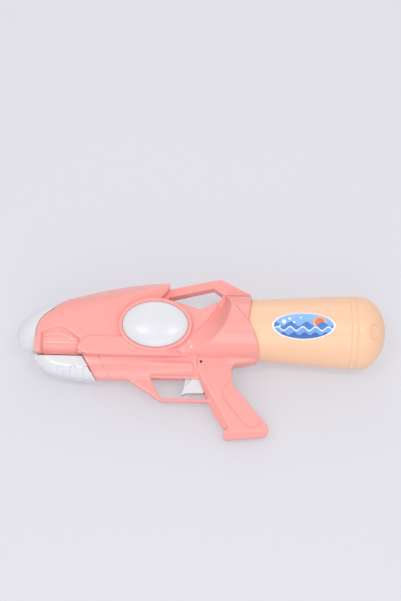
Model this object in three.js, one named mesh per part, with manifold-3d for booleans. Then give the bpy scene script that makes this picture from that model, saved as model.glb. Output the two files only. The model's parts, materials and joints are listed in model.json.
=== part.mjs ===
// Toy water squirter of the pump-up kind, lying on its right side on the ground.
// It is drawn upright first: x runs back from the nose tip, y up from the tank's axis and z to its left.
// The finished group is then rolled about x until the grip and the tank both rest on the ground.
import * as THREE from 'three';
import { ConvexGeometry } from 'three/addons/geometries/ConvexGeometry.js';
import { mergeVertices } from 'three/addons/utils/BufferGeometryUtils.js';
import Module from 'manifold-3d';

const wasm = await Module();
wasm.setup();

// General sizes, in millimetres
const LENGTH = 400;
const WALL = 2.2;
const GAP = 0.3;
const FAR = 300;
const ROUND_SIDES = 32;
const SMALL_SIDES = 10;
const EDGE_STEPS = 2;
const SAME_POINT = 1e-4;

// Tank
const TANK_MOUTH_R = 33.5;
const TANK_WIDE_R = 39.5;
const TANK_WALL = 1.8;
const TANK_BAND = 6.6;
const TANK_BAND_END = 4.4;
const TANK_GROOVE = 0.6;
const TANK_DOME = 29;
const TANK_GRIP = 12;
const NECK_R = 28;
const NECK_LENGTH = 9;
const CAP_DISC = 3;
const CAP_SKIRT = 2.5;
const GASKET = 1.4;
const LABEL_THICK = 0.3;
const LABEL_Y = -3;
const LABEL_AHEAD = 13;
const LABEL_BEHIND = 17.5;
const LABEL_HALF_Y = 14.5;

// Filler plug, on the tank's rear shoulder
const PLUG_TILT = THREE.MathUtils.degToRad(37);
const PLUG_DROP = THREE.MathUtils.degToRad(12);
const PLUG_HEAD_R = 7.6;
const PLUG_HEAD = 2.2;
const PLUG_SHANK_R = 4.6;
const PLUG_SHANK = 8;
const PLUG_SINK = 3;
const PLUG_RING = 1.6;

// Sleeve that holds the tank
const SLEEVE_R = 37;
const SLEEVE_FRONT_X = 165;
const SLEEVE_END_X = 262.5;
const SLEEVE_RIB = 2.4;
const SLEEVE_RIB_DEPTH = 1.6;

// Hood, hull and raised side panel
const HULL_HALF = 26;
const HULL_FLOOR = -35.2;
const HULL_END_X = 112;
const PANEL_FLOOR = -37;
const PANEL_HALF = 28;
const HOOD_RIDGE = [[72, 34], [98, 40.7], [121, 45.3], [165, 50]];
const HOOD_CREST = [[30, -15], [71, 7], [102, 21.5], [145, 38.2], [166, 43]];
const CREST_HALF = [HULL_HALF, HULL_HALF, HULL_HALF, 22, 17];
const RIM_EDGE = [[60, 40], [47.5, 27], [36, 19.5], [30, 11], [26.8, -5], [26, -20], [26.3, -31], [28, -40]];
const PANEL_ROOF = -17.5;
const PANEL_FACE_END = 165;
const PANEL_END_X = 192;
const PANEL_END_ROOF = -29;
const PANEL_END_FLOOR = -34.4;
const PANEL_POINT = [[79.7, PANEL_FLOOR], [69.5, -31.2], [69.5, -27.5], [79.7, PANEL_ROOF]];
const RECESS_OUTLINE = [[32.5, -12.6], [32.5, -40], [69.5, -40], [69.5, -28], [73, -24], [48, -7.2]];
const RECESS_FLOOR = 15;
const BARREL_Y = -27.5;
const BARREL_Z = 12.5;
const BARREL_R = 7.6;

// Nose
const NOSE_LONG = 40;
const NOSE_TALL = 27;
const NOSE_WIDE = 25;
const NOSE_MID_Y = -2.5;
const NOSE_DROOP = 0.3;
const NOSE_SPIGOT = 14;
const NOSE_FIT = 0.5;
const RIM_PROUD = 0.8;
const NOZZLE_R = 4;
const NOZZLE_LENGTH = 16;
const JET_R = 1;

// Oval bezel and its covers
const OVAL_AT = [151.8, -3.6];
const OVAL_HALF = [35, 25.1];
const BEZEL = 4.3;
const BEZEL_HALF = 30.4;
const OVAL_SEAT = 27;
const OVAL_APEX = 37.9;
const OVAL_EDGE = 2.6;
const COVER_WALL = 1.8;
const PEG_R = 2;
const PEG_SPREAD = 20;
const PEG_LENGTH = 5;

// Sloping face between bezel and window, and the crescent scoop that leads from it up to the sleeve's skin
const FACE_SLOPE = 0.44;
const FACE_HALF = 20.3;
const SCOOP_INNER_AT = [131.7, 65.2];
const SCOOP_INNER_R = 97.7;
const SCOOP_INNER_ARC = [-17, -63];
const SCOOP_OUTER_AT = [178.2, 22.8];
const SCOOP_OUTER_R = 54.3;
const SCOOP_OUTER_ARC = [-2, -92];
const SCOOP_FRONT_X = 120;

// Carry bar with its window, and the stepped rear edge of the shells
const BAR_HALF = 8;
const BAR_TOP = [[150, 41], [167.5, 42.6], [214, 53.6], [222, 54.4], [254.6, 37.6]];
const BAR_LOW = [[254.6, 10], [150, 10]];
const WINDOW = [[161, 31], [213.3, 44.4], [223.8, 37.2], [220, 30.3], [198.2, 18.9], [177.8, 26.3]];
const REAR_EDGE = [[255.5, 60], [254.6, 33], [250.6, 2.5], [257, -11], [261.8, -26], [262.4, -60]];

// Lower block, trigger guard, grip and tail
const BLOCK_HALF = 14.5;
const BLOCK_FRONT = [[74.2, -36], [87.9, -59]];
const BLOCK_FLOOR = [[148, -59], [148, -57], [197, -57]];
const BLOCK_ROOF = [[197, -28], [74.2, -28]];
const RIDGE_HALF = 16.4;
const RIDGE_FRONT = [[118, -41], [118, -57]];
const RIDGE_REAR = [[190.5, -41], [193.5, -45], [193.5, -57]];
const GUARD_HALF = 8;
const GUARD_OUTLINE = [[118, -55], [122.6, -59], [158.9, -81.9], [213, -81.6], [213, -55]];
const GUARD_OPENING = [[147.3, -57], [158.9, -78.6], [213, -78.6], [213, -57]];
// Below the pump's axis the block draws in. Each pair is a height and the half width there.
const KEEL_FRONT = [[-44, RIDGE_HALF], [-59, GUARD_HALF]];
const KEEL_REAR = [[-47, RIDGE_HALF], [-53, 12], [-57, 5]];
const GRIP_HALF = 12;
const GRIP_ROUND = 3;
const GRIP_LOW_Y = -121.2;
const GRIP_FRONT = [[197, -28], [197, -51], [209.6, -82], [219, -98.5], [227.8, -111]];
const GRIP_TOE = [[226.7, -115.5], [227.6, -119.6], [230, GRIP_LOW_Y]];
const GRIP_HEEL = [[268.5, -117.2], [273.4, -114.6], [275, -111], [272.4, -105], [268.4, -100.7]];
const GRIP_REAR = [[235.6, -63], [234.8, -55], [236.5, -48], [241, -45], [241, -28]];
const TAIL_HALF = 11;
const TAIL_OUTLINE = [[232, -25], [232, -46.5], [247, -43.7], [256, -39], [261, -31], [258, -25]];

// Pump
const PUMP_Y = -47;
const PUMP_STROKE = 60;
const CYLINDER_FRONT_X = 92;
const CYLINDER_R = 7.6;
const CYLINDER_BORE = 6.2;
const CYLINDER_END = 2;
const ROD_R = 3;
const ROD_FRONT_X = 44;
const ROD_SEAT = 4;
const PISTON_LENGTH = 12;
const PISTON_CLEAR = 1.5;
const PISTON_GROOVE = 2.6;
const PISTON_RING = 2;
const CAP_FLANGE = 3.6;
const CAP_SPIGOT = 3;
const CHECK_LENGTH = 9.5;
const CHECK_R = 6.4;
const FLAP = 1;
const RIB = 2;

// Pump handle
const HANDLE_HALF = 16;
const HANDLE_ROUND = 3;
const HANDLE_TOP = -36.9;
const HANDLE_CLEAR = 1.8;
const HANDLE_KEEL = 12;
const HANDLE_SINK = 2.3;
const HANDLE_BOW = [[18.9, HANDLE_TOP], [22.3, -41.3], [27, -46.6], [35, -53], [44, -56.1], [70.2, -59.6]];
const FLANGE_X = 51;
const FLANGE = 2;
const FLANGE_R = 6;
const KNURL_X = [51.3, 65.3, 79.3];
const KNURL_R = 3.2;
const KNURL_TOP = -51.8;
const KNURL_PROUD = 1.2;

// Trigger and its valve
const TRIGGER_HALF = 5;
const TRIGGER_PIVOT = [201.4, -38.9];
const TRIGGER_FACE = [[187, -50], [184.4, -56.5], [184, -64.4], [180.6, -73.2]];
const TRIGGER_TIP = [[182, -74.6], [186.3, -72.6], [205, -72]];
const TRIGGER_BACK = [[207.5, -62], [207, -45]];
const TRIGGER_PULL = THREE.MathUtils.degToRad(12);
const TRIGGER_ARM = 4;
const ARM_ABOVE_STEM = 4.5;
const PIN_R = 1.4;
const PIN_SINK = 1.5;
const PIN_BOSS_R = 4;
const VALVE_Y = -22;
const VALVE_FRONT_X = 206;
const VALVE_LENGTH = 22;
const VALVE_R = 7;
const VALVE_BORE = 4.6;
const VALVE_END = 2;
const STEM_R = 1.8;
const KNOB_R = 3.2;
const KNOB = 2.6;
const HEAD_FRONT_X = 217;
const HEAD_LENGTH = 5;
const HEAD_GROOVE = 2.2;

// Hoses, barbs and springs
const HOSE_R = 3.6;
const HOSE_BORE = 2.6;
const BARB_R = HOSE_BORE - 3 * GAP;
const BARB_BORE = 1.2;
const BARB_LENGTH = 5;
const AIR_BARB_Y = 13;
const HOSE_STEPS = 32;
const HOSE_SIDES = 6;
const AIR_BENDS = [[183, -24, -8], [192, -17, -11], [206, -7, -13], [219, 3, -8]];
const WATER_BENDS = [[205, -2.4, 0], [180, -4, 0], [150, -8, 0], [110, -10, 0], [70, -12, 0]];
const DIP_SHORT = 8;
const DIP_DROP = 9;
const WIRE_R = 0.5;
const COIL_TURNS = 4;
const COIL_STEPS = 8;
const SPRING_Y = -52;
const SPRING_R = 3;
const SPRING_LENGTH = 11;

// Screws
const SCREW_AT = [[60, 8], [97, 4], [137.5, -62.4], [209, 8], [238, 41], [226, -66], [249, -112]];
const HANDLE_SCREW_AT = [[34, -45], [75.5, -54.4]];
const SCREW_R = 1.3;
const SCREW_HEAD_R = 2.8;
const SCREW_HEAD = 1.8;
const SCREW_SEAT = 4.5;
const SCREW_REACH = 6.5;
const BOSS_R = 5;

// Places that follow from those sizes
const SHOULDER_X = SLEEVE_END_X - TANK_GRIP;
const TANK_WIDE_X = LENGTH - TANK_DOME - TANK_BAND - TANK_BAND_END;
const LABEL_FRONT_X = SLEEVE_END_X + LABEL_AHEAD;
const LABEL_REAR_X = TANK_WIDE_X - LABEL_BEHIND;
const RING_X = SHOULDER_X + SLEEVE_RIB;
const RING_R = TANK_MOUTH_R - SLEEVE_RIB_DEPTH;
const NECK_END_X = SHOULDER_X - NECK_LENGTH;
const CAP_REAR_X = NECK_END_X - GASKET - 2 * GAP;
const CAP_FRONT_X = CAP_REAR_X - CAP_DISC;
const CAP_R = NECK_R + GAP + CAP_SKIRT;
const PISTON_RUN = PUMP_STROKE + PISTON_LENGTH + 2 * PISTON_CLEAR;
const CYLINDER_REAR_X = CYLINDER_FRONT_X + CAP_SPIGOT + PISTON_RUN + CYLINDER_END;
const PISTON_REAR_X = CYLINDER_REAR_X - CYLINDER_END - PISTON_CLEAR;
const PISTON_FRONT_X = PISTON_REAR_X - PISTON_LENGTH;
const CHECK_FRONT_X = CYLINDER_REAR_X + GAP;
const CHECK_MID_X = CHECK_FRONT_X + CHECK_LENGTH / 2;
const VALVE_REAR_X = VALVE_FRONT_X + VALVE_LENGTH;
const VALVE_BARB_X = HEAD_FRONT_X;
const KNOB_REAR_X = TRIGGER_PIVOT[0] - TRIGGER_ARM / 2 - GAP;
const [BLOCK_BROW, BLOCK_TOE] = BLOCK_FRONT;
const BLOCK_SLANT = (BLOCK_TOE[0] - BLOCK_BROW[0]) / (BLOCK_BROW[1] - BLOCK_TOE[1]);
const HANDLE_REAR = [
  [BLOCK_TOE[0] - HANDLE_CLEAR + HANDLE_SINK * BLOCK_SLANT, BLOCK_TOE[1] - HANDLE_SINK],
  [BLOCK_BROW[0] - HANDLE_CLEAR, HANDLE_TOP],
];
const NOSE_TIP_Y = NOSE_MID_Y - NOSE_DROOP * NOSE_LONG;
const NOSE_SEAT = WALL - RIM_PROUD;

// Finishes
const pink = new THREE.MeshStandardMaterial({ color: '#fcaaa4', roughness: 0.4, metalness: 0 });
const white = new THREE.MeshStandardMaterial({ color: '#eeedf0', roughness: 0.3, metalness: 0 });
const peach = new THREE.MeshStandardMaterial({ color: '#fad0ae', roughness: 0.35, metalness: 0 });
const print = new THREE.MeshStandardMaterial({ color: '#5d9be0', roughness: 0.3, metalness: 0 });
const grey = new THREE.MeshStandardMaterial({ color: '#c9c9cc', roughness: 0.5, metalness: 0 });
const rubber = new THREE.MeshStandardMaterial({ color: '#26262a', roughness: 0.8, metalness: 0 });
const vinyl = new THREE.MeshStandardMaterial({ color: '#e6ecec', roughness: 0.25, metalness: 0 });
const steel = new THREE.MeshStandardMaterial({ color: '#b9bcc0', roughness: 0.3, metalness: 1 });

// A closed three.js geometry as a solid that can be joined and cut.
function solid(geometry) {
  const bare = geometry.clone();
  bare.deleteAttribute('normal');
  bare.deleteAttribute('uv');
  const merged = mergeVertices(bare, SAME_POINT);
  const corners = [];
  for (let i = 0; i < merged.index.count; i += 3) {
    const [a, b, c] = [merged.index.getX(i), merged.index.getX(i + 1), merged.index.getX(i + 2)];
    if (a !== b && b !== c && c !== a) corners.push(a, b, c);
  }
  const vertProperties = Float32Array.from(merged.attributes.position.array);
  const triVerts = Uint32Array.from(corners);
  return new wasm.Manifold(new wasm.Mesh({ numProp: 3, vertProperties, triVerts }));
}

// A finished solid as a named mesh.
function piece(name, body, material) {
  const mesh = body.getMesh();
  const geometry = new THREE.BufferGeometry();
  geometry.setAttribute('position', new THREE.BufferAttribute(Float32Array.from(mesh.vertProperties), 3));
  geometry.setIndex(new THREE.BufferAttribute(Uint32Array.from(mesh.triVerts), 1));
  geometry.computeVertexNormals();
  const named = new THREE.Mesh(geometry, material.clone());
  named.name = name;
  return named;
}

function join(...bodies) {
  return bodies.reduce((all, body) => all.add(body));
}

function shapeOf(points) {
  return new THREE.Shape(points.map(([x, y]) => new THREE.Vector2(x, y)));
}

// An outline made 2 * half thick about the middle plane, with its edges rounded off by round.
function slab(points, half, round = 0) {
  const bevel = { bevelEnabled: round > 0, bevelThickness: round, bevelSize: round, bevelOffset: -round };
  const settings = { depth: 2 * (half - round), steps: 1, bevelSegments: EDGE_STEPS, ...bevel };
  const geometry = new THREE.ExtrudeGeometry(shapeOf(points), settings);
  return solid(geometry.translate(0, 0, round - half));
}

function ovalSlab([x, y], [halfX, halfY], low, high) {
  const oval = new THREE.Shape().absellipse(x, y, halfX, halfY, 0, 2 * Math.PI);
  const settings = { depth: high - low, steps: 1, bevelEnabled: false, curveSegments: ROUND_SIDES / 2 };
  return solid(new THREE.ExtrudeGeometry(oval, settings).translate(0, 0, low));
}

function box([x0, x1], [y0, y1], [z0, z1]) {
  const geometry = new THREE.BoxGeometry(x1 - x0, y1 - y0, z1 - z0);
  return solid(geometry.translate((x0 + x1) / 2, (y0 + y1) / 2, (z0 + z1) / 2));
}

// A solid of revolution about a line along x at height y. The profile lists [x, radius], front to rear.
function turned(profile, y = 0, sides = ROUND_SIDES) {
  const points = profile.map(([x, r]) => new THREE.Vector2(r, x));
  const geometry = new THREE.LatheGeometry(points, sides);
  geometry.rotateZ(-Math.PI / 2);
  return solid(geometry.translate(0, y, 0));
}

function bar(x0, x1, radius, y = 0, sides = 2 * SMALL_SIDES) {
  return turned([[x0, 0], [x0, radius], [x1, radius], [x1, 0]], y, sides);
}

function tube(x0, x1, radius, bore, y = 0, sides = 2 * SMALL_SIDES) {
  return bar(x0, x1, radius, y, sides).subtract(bar(x0 - GAP, x1 + GAP, bore, y, sides));
}

// A round post along z.
function post([x, y], low, high, radius, sides = SMALL_SIDES) {
  const geometry = new THREE.CylinderGeometry(radius, radius, high - low, sides);
  geometry.rotateX(Math.PI / 2);
  return solid(geometry.translate(x, y, (low + high) / 2));
}

// A round post that stands up along y.
function riser(x, low, high, radius, z = 0, sides = SMALL_SIDES) {
  const geometry = new THREE.CylinderGeometry(radius, radius, high - low, sides);
  return solid(geometry.translate(x, (low + high) / 2, z));
}

function hull(points) {
  return solid(new ConvexGeometry(points.map(([x, y, z]) => new THREE.Vector3(x, y, z))));
}

function bothSides(points) {
  return points.concat(points.map(([x, y, z]) => [x, y, -z]));
}

function normalOf([x0, y0], [x1, y1]) {
  const long = Math.hypot(x1 - x0, y1 - y0);
  return [(y0 - y1) / long, (x1 - x0) / long];
}

// An outline moved inwards by a distance, corner by corner.
function inset(points, distance) {
  const turnsRight = THREE.ShapeUtils.isClockWise(shapeOf(points).getPoints());
  const loop = turnsRight ? [...points].reverse() : points;
  return loop.map((here, i) => {
    const before = normalOf(loop[(i + loop.length - 1) % loop.length], here);
    const after = normalOf(here, loop[(i + 1) % loop.length]);
    const share = distance / (1 + before[0] * after[0] + before[1] * after[1]);
    return [here[0] + share * (before[0] + after[0]), here[1] + share * (before[1] + after[1])];
  });
}

// A round section swept along a smooth curve, with a bore if one is given.
function swept(points, radius, bore, steps, sides = HOSE_SIDES) {
  const section = new THREE.Shape().absarc(0, 0, radius, 0, 2 * Math.PI);
  if (bore > 0) section.holes.push(new THREE.Path().absarc(0, 0, bore, 0, 2 * Math.PI, true));
  const extrudePath = new THREE.CatmullRomCurve3(points.map(([x, y, z]) => new THREE.Vector3(x, y, z)));
  const settings = { steps, extrudePath, bevelEnabled: false, curveSegments: sides / 2 };
  return solid(new THREE.ExtrudeGeometry(section, settings));
}

// A coil spring along x.
function coil(x0, x1, y, radius) {
  const count = COIL_TURNS * COIL_STEPS;
  const points = Array.from({ length: count + 1 }, (_, i) => {
    const angle = 2 * Math.PI * i / COIL_STEPS;
    const along = x0 + WIRE_R + (x1 - x0 - 2 * WIRE_R) * i / count;
    return [along, y + radius * Math.cos(angle), radius * Math.sin(angle)];
  });
  return swept(points, WIRE_R, 0, count);
}

function leftOf(body) {
  return body.intersect(box([-FAR, 2 * FAR], [-FAR, FAR], [GAP / 2, FAR]));
}

function rightOf(body) {
  return body.intersect(box([-FAR, 2 * FAR], [-FAR, FAR], [-FAR, -GAP / 2]));
}

// The nose is an ellipsoid that droops towards its tip.
function noseEgg(shrink) {
  const egg = new THREE.SphereGeometry(1, ROUND_SIDES / 2, SMALL_SIDES);
  egg.rotateZ(Math.PI / 2);
  egg.scale(NOSE_LONG - shrink, NOSE_TALL - shrink, NOSE_WIDE - shrink);
  const droop = new THREE.Matrix4().set(1, 0, 0, 0, NOSE_DROOP, 1, 0, 0, 0, 0, 1, 0, 0, 0, 0, 1);
  return solid(egg.applyMatrix4(droop).translate(NOSE_LONG, NOSE_MID_Y, 0));
}

// The upper half of a ring around that ellipsoid.
function eggRing(x, grow) {
  const share = Math.sqrt(1 - ((x - NOSE_LONG) / NOSE_LONG) ** 2);
  const mid = NOSE_MID_Y + NOSE_DROOP * (x - NOSE_LONG);
  return [-30, 0, 20, 40, 60, 80, 90].map((degrees) => {
    const angle = THREE.MathUtils.degToRad(degrees);
    const [tall, wide] = [NOSE_TALL * share + grow, NOSE_WIDE * share + grow];
    return [x, mid + tall * Math.sin(angle), wide * Math.cos(angle)];
  });
}

// Everything in front of the hood's rim, moved back by shift.
function frontOfRim(shift) {
  const edge = RIM_EDGE.map(([x, y]) => [x + shift, y]);
  return slab([...edge, [-FAR, -FAR], [-FAR, FAR]], FAR);
}

function hoodForm(shrink) {
  const top = HOOD_RIDGE.map(([x, y]) => [x, y - shrink, 0]);
  const crest = HOOD_CREST.map(([x, y], i) => [x, y - shrink / 2, CREST_HALF[i] - shrink]);
  const brow = [NOSE_LONG / 2, NOSE_LONG + WALL * 2].flatMap((x) => eggRing(x, RIM_PROUD - shrink));
  const floor = [NOSE_LONG / 2, HULL_END_X].map((x) => [x, HULL_FLOOR + shrink, HULL_HALF - shrink]);
  return hull(bothSides([...top, ...crest, ...brow, ...floor]));
}

// The raised side panel: flat in front, then tapering back into the sleeve.
function panelForm(shrink) {
  const outline = [...PANEL_POINT, [PANEL_FACE_END, PANEL_ROOF], [PANEL_FACE_END, PANEL_FLOOR]];
  const face = inset(outline, shrink).map(([x, y]) => [x, y, PANEL_HALF - shrink]);
  const tailY = [PANEL_END_ROOF - shrink, PANEL_END_FLOOR + shrink];
  const tail = tailY.map((y) => [PANEL_END_X - shrink, y, BLOCK_HALF - shrink]);
  return hull(bothSides([...face, ...tail])).subtract(scoopForm(shrink));
}

// Points along an arc, between two angles in degrees.
function arcPoints([x, y], radius, [from, to]) {
  return Array.from({ length: SMALL_SIDES }, (_, i) => {
    const angle = THREE.MathUtils.degToRad(from + (to - from) * i / (SMALL_SIDES - 1));
    return [x + radius * Math.cos(angle), y + radius * Math.sin(angle)];
  });
}

// What is cut from the sleeve's side: down to the sloping face as far as the inner arc, and from there
// step by step up to the sleeve's skin along the outer arc. Sunk by a depth, it keeps a wall under itself.
function scoopForm(sink) {
  const low = arcPoints(SCOOP_INNER_AT, SCOOP_INNER_R, SCOOP_INNER_ARC);
  const inner = low.map(([x, y]) => [x, y, FACE_HALF - FACE_SLOPE * y - sink]);
  const high = arcPoints(SCOOP_OUTER_AT, SCOOP_OUTER_R, SCOOP_OUTER_ARC);
  const outer = high.map(([x, y]) => [x, y, Math.sqrt(SLEEVE_R ** 2 - y ** 2) - sink]);
  const front = inner.map(([, y, z]) => [SCOOP_FRONT_X, y, z]);
  const ramp = inner.slice(1).map((next, i) => [inner[i], next, outer[i], outer[i + 1]]);
  return join(...[[...inner, ...front], ...ramp].flatMap((floor) => {
    const points = [...floor, ...floor.map(([x, y, z]) => [x, y, z + SLEEVE_R])];
    return [hull(points), hull(points.map(([x, y, z]) => [x, y, -z]))];
  }));
}

function sleeveForm(shrink) {
  const shell = bar(SLEEVE_FRONT_X + shrink, SLEEVE_END_X + shrink, SLEEVE_R - shrink, 0, ROUND_SIDES);
  return shell.subtract(scoopForm(shrink));
}

const BLOCK_OUTLINE = [...BLOCK_FRONT, ...BLOCK_FLOOR, ...BLOCK_ROOF];
const GRIP_OUTLINE = [...GRIP_FRONT, ...GRIP_TOE, ...GRIP_HEEL, ...GRIP_REAR];
const HANDLE_OUTLINE = [...HANDLE_BOW, ...HANDLE_REAR];

function ovalHalf(grow) {
  return OVAL_HALF.map((half) => half + grow);
}

// The barrel that shows in the recess under the hood, one on each side.
function barrels(radius) {
  const reach = RECESS_OUTLINE.map(([x]) => x);
  const [from, to] = [Math.min(...reach) - WALL, Math.max(...reach) + WALL];
  return [BARREL_Z, -BARREL_Z].map((z) => {
    const round = new THREE.CylinderGeometry(radius, radius, to - from, 2 * SMALL_SIDES);
    round.rotateZ(Math.PI / 2);
    return solid(round.translate((from + to) / 2, BARREL_Y, z));
  });
}

function recessForm(grow) {
  const outline = inset(RECESS_OUTLINE, -grow);
  return slab(outline, FAR).subtract(slab(outline, RECESS_FLOOR - grow));
}

// The low ridge over the pump on the block's sides, rising towards the rear.
function ridgeForm() {
  const front = RIDGE_FRONT.map(([x, y]) => [x, y, BLOCK_HALF - GAP]);
  return hull(bothSides([...front, ...RIDGE_REAR.map(([x, y]) => [x, y, RIDGE_HALF])]));
}

// What the block keeps as it draws in: to the guard's width in front, and round the pump all along.
function keelForm(shrink) {
  const [frontX, rearX] = [BLOCK_BROW[0], BLOCK_ROOF[0][0]];
  const run = (section, to) => {
    const drawnIn = section.map(([y, half]) => [y + shrink / 2, half - shrink]);
    const rows = [[BLOCK_ROOF[0][1], RIDGE_HALF], ...drawnIn];
    return hull(bothSides(rows.flatMap(([y, half]) => [[frontX, y, half], [to, y, half]])));
  };
  return join(run(KEEL_FRONT, GUARD_OPENING[0][0]), run(KEEL_REAR, rearX));
}

// The whole body, still one solid, before it is hollowed and split.
function bodyForm() {
  const hood = hoodForm(0).subtract(recessForm(0)).subtract(frontOfRim(0));
  const bezel = ovalSlab(OVAL_AT, ovalHalf(BEZEL), -BEZEL_HALF, BEZEL_HALF);
  const floor = ovalSlab(OVAL_AT, ovalHalf(BEZEL), -OVAL_SEAT, OVAL_SEAT);
  const seat = ovalSlab(OVAL_AT, ovalHalf(GAP), -FAR, FAR).subtract(floor);
  const behind = slab([...REAR_EDGE, [2 * FAR, -FAR], [2 * FAR, FAR]], FAR);
  const rear = join(sleeveForm(0), slab([...BAR_TOP, ...BAR_LOW], BAR_HALF)).subtract(behind);
  const upper = join(hood, ...barrels(BARREL_R), panelForm(0), rear, bezel).subtract(seat);
  const guard = slab(GUARD_OUTLINE, GUARD_HALF).subtract(slab(GUARD_OPENING, FAR));
  const grip = slab(GRIP_OUTLINE, GRIP_HALF, GRIP_ROUND);
  const tail = slab(TAIL_OUTLINE, TAIL_HALF);
  const block = slab(BLOCK_OUTLINE, BLOCK_HALF).add(ridgeForm()).intersect(keelForm(0));
  const lower = join(block, guard, grip, tail);
  return upper.subtract(slab(WINDOW, FAR)).add(lower);
}

function cavityForm() {
  const front = box([-FAR, OVAL_AT[0]], [-FAR, FAR], [-FAR, FAR]);
  const hood = hoodForm(WALL).intersect(front).subtract(recessForm(WALL));
  const underSeat = ovalSlab(OVAL_AT, ovalHalf(BEZEL), WALL - OVAL_SEAT, OVAL_SEAT - WALL);
  const bezel = ovalSlab(OVAL_AT, ovalHalf(BEZEL), -FAR, FAR).subtract(underSeat);
  const oval = underSeat.intersect(ovalSlab(OVAL_AT, ovalHalf(-WALL), -FAR, FAR));
  const walls = join(bezel, slab(inset(WINDOW, -WALL), FAR));
  const upper = join(hood, oval, panelForm(WALL), sleeveForm(WALL)).subtract(walls);
  const block = slab(inset(BLOCK_OUTLINE, WALL), BLOCK_HALF - WALL).intersect(keelForm(WALL));
  const grip = slab(inset(GRIP_OUTLINE, WALL), GRIP_HALF - WALL);
  return join(upper, block, grip, noseEgg(NOSE_SEAT).subtract(recessForm(WALL)));
}

// Ribs and bosses inside the shells that carry the works, and the room that the works need.
function ribAt(x, low, high) {
  return box([x, x + RIB], [low, high], [-SLEEVE_R, SLEEVE_R]);
}

function fittings() {
  const bosses = SCREW_AT.map((at) => post(at, -SLEEVE_R, SLEEVE_R, BOSS_R));
  const pinBosses = post(TRIGGER_PIVOT, -SLEEVE_R, SLEEVE_R, PIN_BOSS_R);
  const pumpRibX = [CYLINDER_FRONT_X + WALL, CYLINDER_REAR_X - 2 * WALL];
  const pumpRibs = pumpRibX.map((x) => ribAt(x, PUMP_Y - CYLINDER_R, PUMP_Y));
  const valveRibX = [VALVE_FRONT_X + RIB, VALVE_REAR_X - 2 * RIB];
  const valveRibs = valveRibX.map((x) => ribAt(x, PANEL_FLOOR, VALVE_Y));
  const springStop = ribAt(springRearX() + GAP, SPRING_Y - SPRING_R - RIB, SPRING_Y + SPRING_R + RIB);
  const tankRing = tube(RING_X, RING_X + SLEEVE_RIB, SLEEVE_R, RING_R + GAP, 0, ROUND_SIDES);
  return join(...bosses, pinBosses, ...pumpRibs, ...valveRibs, springStop, tankRing);
}

function springRearX() {
  return TRIGGER_BACK[1][0] + GAP + SPRING_LENGTH;
}

// Trigger blade pulled by an angle about its pin, grown all round by a clearance.
function triggerBlade(pull, grow) {
  const [px, py] = TRIGGER_PIVOT;
  const [front, back, top] = [px - TRIGGER_ARM / 2, px + TRIGGER_ARM / 2, VALVE_Y + ARM_ABOVE_STEM];
  const arm = [[back, py + PIN_BOSS_R], [back, top], [front, top], [front, py]];
  const outline = inset([...TRIGGER_FACE, ...TRIGGER_TIP, ...TRIGGER_BACK, ...arm], -grow);
  const pivot = new THREE.Vector2(px, py);
  const turned = outline.map(([x, y]) => new THREE.Vector2(x, y).rotateAround(pivot, pull).toArray());
  return slab(turned, TRIGGER_HALF + grow);
}

function room() {
  const trigger = [0, TRIGGER_PULL / 2, TRIGGER_PULL].map((pull) => triggerBlade(pull, 2 * GAP));
  const hub = post(TRIGGER_PIVOT, -TRIGGER_HALF - GAP, TRIGGER_HALF + GAP, PIN_BOSS_R + 2 * GAP);
  const pin = post(TRIGGER_PIVOT, -FAR, FAR, PIN_R + GAP);
  const cylinder = bar(CYLINDER_FRONT_X - CAP_FLANGE - 2 * GAP, CHECK_FRONT_X, CYLINDER_R + GAP, PUMP_Y);
  const check = bar(CHECK_FRONT_X - GAP, CHECK_FRONT_X + CHECK_LENGTH + GAP, CHECK_R + GAP, PUMP_Y);
  const rod = bar(ROD_FRONT_X, CYLINDER_FRONT_X, ROD_R + GAP, PUMP_Y);
  const valve = bar(VALVE_FRONT_X - GAP, VALVE_REAR_X + GAP, VALVE_R + GAP, VALVE_Y);
  const cap = bar(CAP_FRONT_X - GAP, SHOULDER_X, CAP_R + GAP, 0, ROUND_SIDES);
  const hoses = [airRoute(), waterRoute()].map((route) => swept(route, HOSE_R + GAP, 0, HOSE_STEPS));
  const pegs = ovalPegs(PEG_R + GAP, -FAR, FAR);
  return join(...trigger, hub, pin, cylinder, check, rod, valve, cap, ...hoses, ...pegs);
}

// The seam screws go in from the right: a sunk head on that side, a blind pilot hole on the other.
function screwRoom(places) {
  return places.flatMap((at) => [
    post(at, -FAR, -SCREW_SEAT, SCREW_HEAD_R + GAP),
    post(at, -SCREW_SEAT - GAP, SCREW_REACH + GAP, SCREW_R + GAP),
  ]);
}

function screw(at) {
  const head = post(at, -SCREW_SEAT - GAP - SCREW_HEAD, -SCREW_SEAT - GAP, SCREW_HEAD_R);
  return head.add(post(at, -SCREW_SEAT - GAP - SCREW_HEAD / 2, SCREW_REACH, SCREW_R));
}

function ovalPegs(radius, low, high) {
  return [-PEG_SPREAD, PEG_SPREAD].map((step) => post([OVAL_AT[0] + step, OVAL_AT[1]], low, high, radius));
}

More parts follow.
